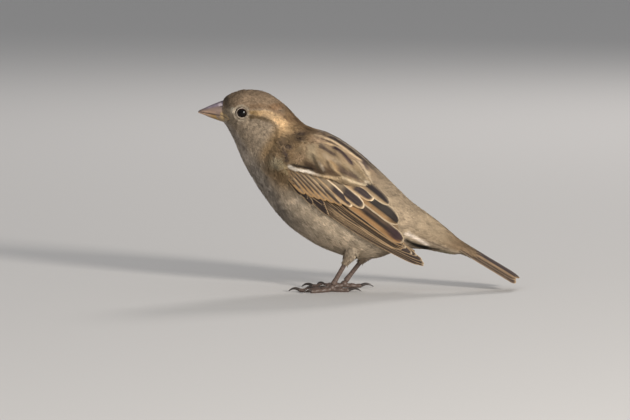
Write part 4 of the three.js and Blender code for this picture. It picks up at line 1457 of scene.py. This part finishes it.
def bill_reach(x, z):
    """Half the bill's width at a place in the side view."""
    ridge, edge, under, half = (profile(BILL[:, [0, k]], x) for k in (1, 2, 3, 4))
    share = np.clip((z - edge) / (np.where(z > edge, ridge, under) - edge), 0, 1)
    return half * np.sqrt(np.maximum(1 - share ** (2 / 0.85), 0))


def gape(name, right):
    """The swollen flange where the bill's halves meet the face."""
    rows, cols = 40, 25
    places, *edges = zip(*GAPE)
    x = np.linspace(places[0], places[-1], rows)[:, None] + np.zeros((1, cols))
    w = np.linspace(-1, 1, cols)
    low, lip, high = (np.interp(x, places, edge) for edge in edges)
    v = np.where(w < 0, lip + (lip - low) * w, lip + (high - lip) * w)
    z = (v + 0.34) / math.cos(LIFT)
    bill = bill_reach(x, z)
    base = bill + (np.maximum(body_reach(x, z, right), bill) - bill) * smooth(-56.2, -54.8, x)
    lens = (1 - w**2) * smooth(-58.8, -55.6, x) * smooth(-52.7, -53.6, x)
    y = base - 0.2 + lens * (0.36 - np.exp(-((w / 0.12) ** 2)) * 0.12)
    tint = paint(
        GAPE_OCHRE,
        (BILL_SIDE, smooth(-56.2, -58.0, x) * 0.8),
        (BILL_DARK, np.exp(-((w / 0.1) ** 2)) * 0.85 * smooth(-52.8, -54.0, x)),
        (BILL_DARK, smooth(0.75, 1.0, np.abs(w)) * 0.35),
    )
    tint = tint * (1 + 0.12 * wave_noise(x, z, 0 * x, 0.5, 12))[..., None]
    points = np.stack([x, y * (1 if right else -1), z], -1)
    dress(make_mesh(f"gape_{name}", points, sheet_faces(1, rows, cols), tint), HORN)


for name, right in BOTH:
    gape(name, right)
mandible("upper", 1, 1.0, 1.0)
mandible("lower", 3, -1.0, 0.93)


# ---- eyes


def eye_material():
    made, shader = material("eye_gloss", 0.03, {"IOR": 1.28})
    feed(made, shader, {"Base Color": attribute(made, "tint")["Color"]})
    return made


EYE = eye_material()
LID = tinted("eyelid", 0.6, 2500.0, 0.2, 0.4)[0]
IRIS, PUPIL, EYE_RIM = (0.024, 0.013, 0.008), (0.002, 0.0015, 0.0015), (0.004, 0.003, 0.003)


def round_eye(radius, turn, out, sign):
    """Points at a radius and a turn round the eye's middle, and so far out of it."""
    return np.stack([
        EYE_PLACE[0] + radius * np.cos(turn),
        sign * (EYE_SIDE + out),
        EYE_PLACE[1] + radius * np.sin(turn),
    ], -1)


def eyeball(name, sign):
    rows, cols = 40, 48
    polar = np.linspace(0.001, math.pi - 0.001, rows)[:, None] + np.zeros((1, cols))
    turn = np.arange(cols) / cols * 2 * math.pi
    bulge = EYE_RADIUS * (1 + 0.035 * np.exp(-((polar / 0.55) ** 2)))
    points = round_eye(bulge * np.sin(polar), turn, bulge * np.cos(polar), sign)
    tint = paint(IRIS, (PUPIL, smooth(0.52, 0.46, polar)), (EYE_RIM, smooth(0.62, 0.7, polar)))
    ball = make_mesh(f"eyeball_{name}", points, ring_faces(rows, cols), tint)
    dress(ball, EYE, [f"eye_{name}"])


def eyelids(name, sign):
    """A soft rim of skin round the ball."""
    rim, sides = 72, 10
    turn = (np.arange(rim) / rim * 2 * math.pi)[:, None]
    swell = np.arange(sides) / sides * 2 * math.pi
    radius = 2.06 + 0.06 * np.cos(2 * turn) + 0.05 * np.sin(turn)
    thick = 0.17 * (1 + 0.18 * np.sin(turn * 24) + 0.1 * np.sin(turn * 11 + 1))
    out = np.sqrt(np.maximum(EYE_RADIUS**2 - radius**2, 0)) + 0.02 + thick * np.sin(swell)
    points = round_eye(radius + thick * 1.2 * np.cos(swell), turn, out, sign)
    pale = (0.6 + 0.8 * np.sin(turn * 12) ** 2) * (0.75 + 0.45 * np.abs(np.sin(turn)))
    tint = np.broadcast_to(LID_TINT * pale[..., None], points.shape)
    faces = ring_faces(rim + 1, sides) % (rim * sides)
    dress(make_mesh(f"eyelids_{name}", points, faces, tint), LID)


LID_TINT = np.array((0.30, 0.245, 0.19))
for name, sign in (("left", -1.0), ("right", 1.0)):
    eyeball(name, sign)
    eyelids(name, sign)


# ---- legs, toes and claws

# heading in degrees from straight ahead, length, claw's length
TOES = [(176, 7.2, 5.4), (-27, 8.6, 3.9), (2, 13.2, 4.7), (31, 9.8, 3.7)]
TOE_BASE, TOE_END, PAD_LENGTH, SOLE, SCALE_LENGTH = 1.08, 0.80, 3.3, 0.8, 0.85
LEG_TINT = np.array((0.092, 0.061, 0.048))
LEG_PINK = np.array((0.165, 0.105, 0.08))
CLAW_TINT = np.array((0.035, 0.026, 0.022))
CLAW_HEIGHTS = (0.85, 2.4, 0.32)  # at the toe, at the curve's pull, and at the tip
SIDES = 20


def scale_tint(tone):
    """The leg's colour times a tone for each point of a tube, and plain for its two ends."""
    return np.vstack([LEG_TINT * tone.reshape(-1, 1), LEG_TINT, LEG_TINT])


def tarsus(name, joint, axis):
    """The bare leg: overlapping scutes down its front."""
    share = np.linspace(0, 1, 90)
    reach = 1.2 + (TARSUS_LENGTH * ANKLE + 1.5 - 1.2) * share
    ridge = (share * 9.0) % 1.0
    radius = (0.92 + 0.2 * (1 - smooth(0, 0.3, share))) * (1 + 0.035 * ridge)
    points, faces = tube(joint + axis * reach[:, None], radius, SIDES, 0.82)
    ridge = np.repeat(ridge, SIDES)
    tint = mix(LEG_TINT, LEG_PINK, smooth(0.3, 0.9, ridge) * 0.35) * (0.86 + 0.22 * ridge)[:, None]
    piece = make_mesh(f"tarsus_{name}_scutes", points, faces, np.vstack([tint, LEG_TINT, LEG_TINT]))
    dress(piece, SCALE, [f"tarsus_{name}"])


def knuckle(joint, axis):
    """The foot's joint, where the toes and the tarsus meet."""
    ball = np.linspace(0, 1, 9)
    path = joint + np.array([0, 0, -0.5]) + axis * (ball[:, None] * 3.0 - 1.3)
    radius = 1.45 * np.sqrt(np.clip(1 - (2 * ball - 0.95) ** 2 * 0.93, 0.02, 1))
    points, faces = tube(path, radius, SIDES)
    points[:, 2] = np.maximum(points[:, 2], 0.02)
    return points, faces, LEG_TINT


def toe_radius(share, length):
    plain = TOE_BASE + (TOE_END - TOE_BASE) * share
    return plain * (1 + 0.09 * np.cos(share * length * 2 * math.pi / PAD_LENGTH))


def toe(joint, ahead, length):
    """A toe lying on the floor, padded below and ringed with scales above."""
    rows = int(length * 9)
    share = np.linspace(0, 1, rows)
    distance = share * length
    path = joint + ahead * distance[:, None]
    path[:, 2] = SOLE * toe_radius(share, length) + 0.35 * (1 - smooth(0, 3, distance))
    radius = toe_radius(share, length) * (1 - 0.25 * smooth(0.9, 1, share))
    points, faces = tube(path, radius, SIDES)
    ring = ((distance / SCALE_LENGTH) % 1.0)[:, None]
    upper = np.clip(np.sin(np.arange(SIDES) / SIDES * 2 * math.pi), 0, 1)
    points[:-2, 2] += (0.09 * ring * upper).ravel()
    points[:, 2] = np.maximum(points[:, 2], 0.01)
    return points, faces, scale_tint(0.75 + 0.4 * ring * upper + 0.15 * (1 - upper))


def claw(joint, ahead, length, reach):
    """A claw at the toe's end, curved down to its tip."""
    t = np.linspace(0, 1, 26)[:, None]
    start = joint + ahead * (length - 0.1)
    bend, tip = start + ahead * reach * 0.5, start + ahead * reach * 0.95
    start[2], bend[2], tip[2] = CLAW_HEIGHTS
    path = start * (1 - t) ** 2 + bend * 2 * t * (1 - t) + tip * t**2
    points, faces = tube(path, 0.66 * (1 - t[:, 0]) ** 0.6 + 0.06, 14, 0.8)
    points[:, 2] = np.maximum(points[:, 2], 0.01)
    return points, faces, CLAW_TINT


for name in LEGS:
    joint, axis, outer = leg_frame(name)
    tarsus(name, joint, axis)
    toes, claws = [knuckle(joint, axis)], []
    for heading, length, reach in TOES:
        turn = math.radians(heading)
        ahead = np.array([-math.cos(turn), outer * math.sin(turn), 0.0])
        toes.append(toe(joint, ahead, length))
        claws.append(claw(joint, ahead, length, reach))
    nodes = [f"foot_{name}", *(f"toe_{name}_{k}" for k in range(1, 5))]
    dress(make_mesh(f"foot_{name}_scaled", *join(toes)), SCALE, nodes)
    nodes = [f"claw_{name}_{k}" for k in range(1, 5)]
    dress(make_mesh(f"claws_{name}_horn", *join(claws)), CLAW, nodes)


# ---- stage, light and camera

# metres
CENTRE = (-0.01814, 0.0, 0.0329)
DISTANCE, FLOOR_REACH = 1.6, 14.0
SENSOR, PIXELS_WIDE, PIXEL = 36.0, 630, 0.41 * MM
# place, height of the target, size, power, colour, whether it shows as a highlight
LIGHTS = {
    "key": ((0.98, -1.28, 0.50), 0.04, 0.30, 28.0, (1.0, 0.955, 0.89), True),
    "bounce": ((0.7, -1.25, 0.05), 0.04, 0.8, 8.5, (1.0, 0.96, 0.91), True),
    "fill": ((-1.2, -1.0, 0.7), 0.04, 1.2, 1.5, (0.90, 0.95, 1.0), False),
    "rim": ((0.5, 1.3, 1.15), 0.05, 0.5, 10.0, (1.0, 0.97, 0.95), False),
}


def put(name, data, place, target):
    """A light or a camera at a place, turned to a target."""
    made = bpy.data.objects.new(name, data)
    bpy.context.scene.collection.objects.link(made)
    made.location = place
    way = Vector(target) - Vector(place)
    made.rotation_euler = way.to_track_quat("-Z", "Y").to_euler()
    return made


def make_floor():
    points = FLOOR_REACH / MM * np.array([(-1, -1, 0), (1, -1, 0), (1, 1, 0), (-1, 1, 0)])
    floor = make_mesh("floor", points, [[0, 1, 2, 3]])
    paper = material("floor_paper", 0.9, {"Base Color": (0.62, 0.60, 0.58, 1)})[0]
    floor.data.materials.append(paper)


def make_lights():
    for name, (place, height, size, power, colour, glossy) in LIGHTS.items():
        light = bpy.data.lights.new(name, "AREA")
        light.shape = "DISK"
        light.size = size
        light.energy = power
        light.color = colour
        put(name, light, place, (0, 0, height)).visible_glossy = glossy
    world = bpy.data.worlds.new("studio")
    bpy.context.scene.world = world
    world.use_nodes = True
    sky = world.node_tree.nodes["Background"]
    sky.inputs["Color"].default_value = (0.75, 0.77, 0.80, 1)
    sky.inputs["Strength"].default_value = 0.45


def make_camera():
    lens = bpy.data.cameras.new("camera")
    lens.sensor_width = SENSOR
    lens.lens = SENSOR * DISTANCE / (PIXELS_WIDE * PIXEL)
    lens.clip_end = 50.0
    back, up = DISTANCE * math.cos(LIFT), DISTANCE * math.sin(LIFT)
    place = (CENTRE[0], CENTRE[1] - back, CENTRE[2] + up)
    bpy.context.scene.camera = put("camera", lens, place, CENTRE)
    bpy.context.scene.view_settings.view_transform = "Standard"


make_floor()
make_lights()
make_camera()
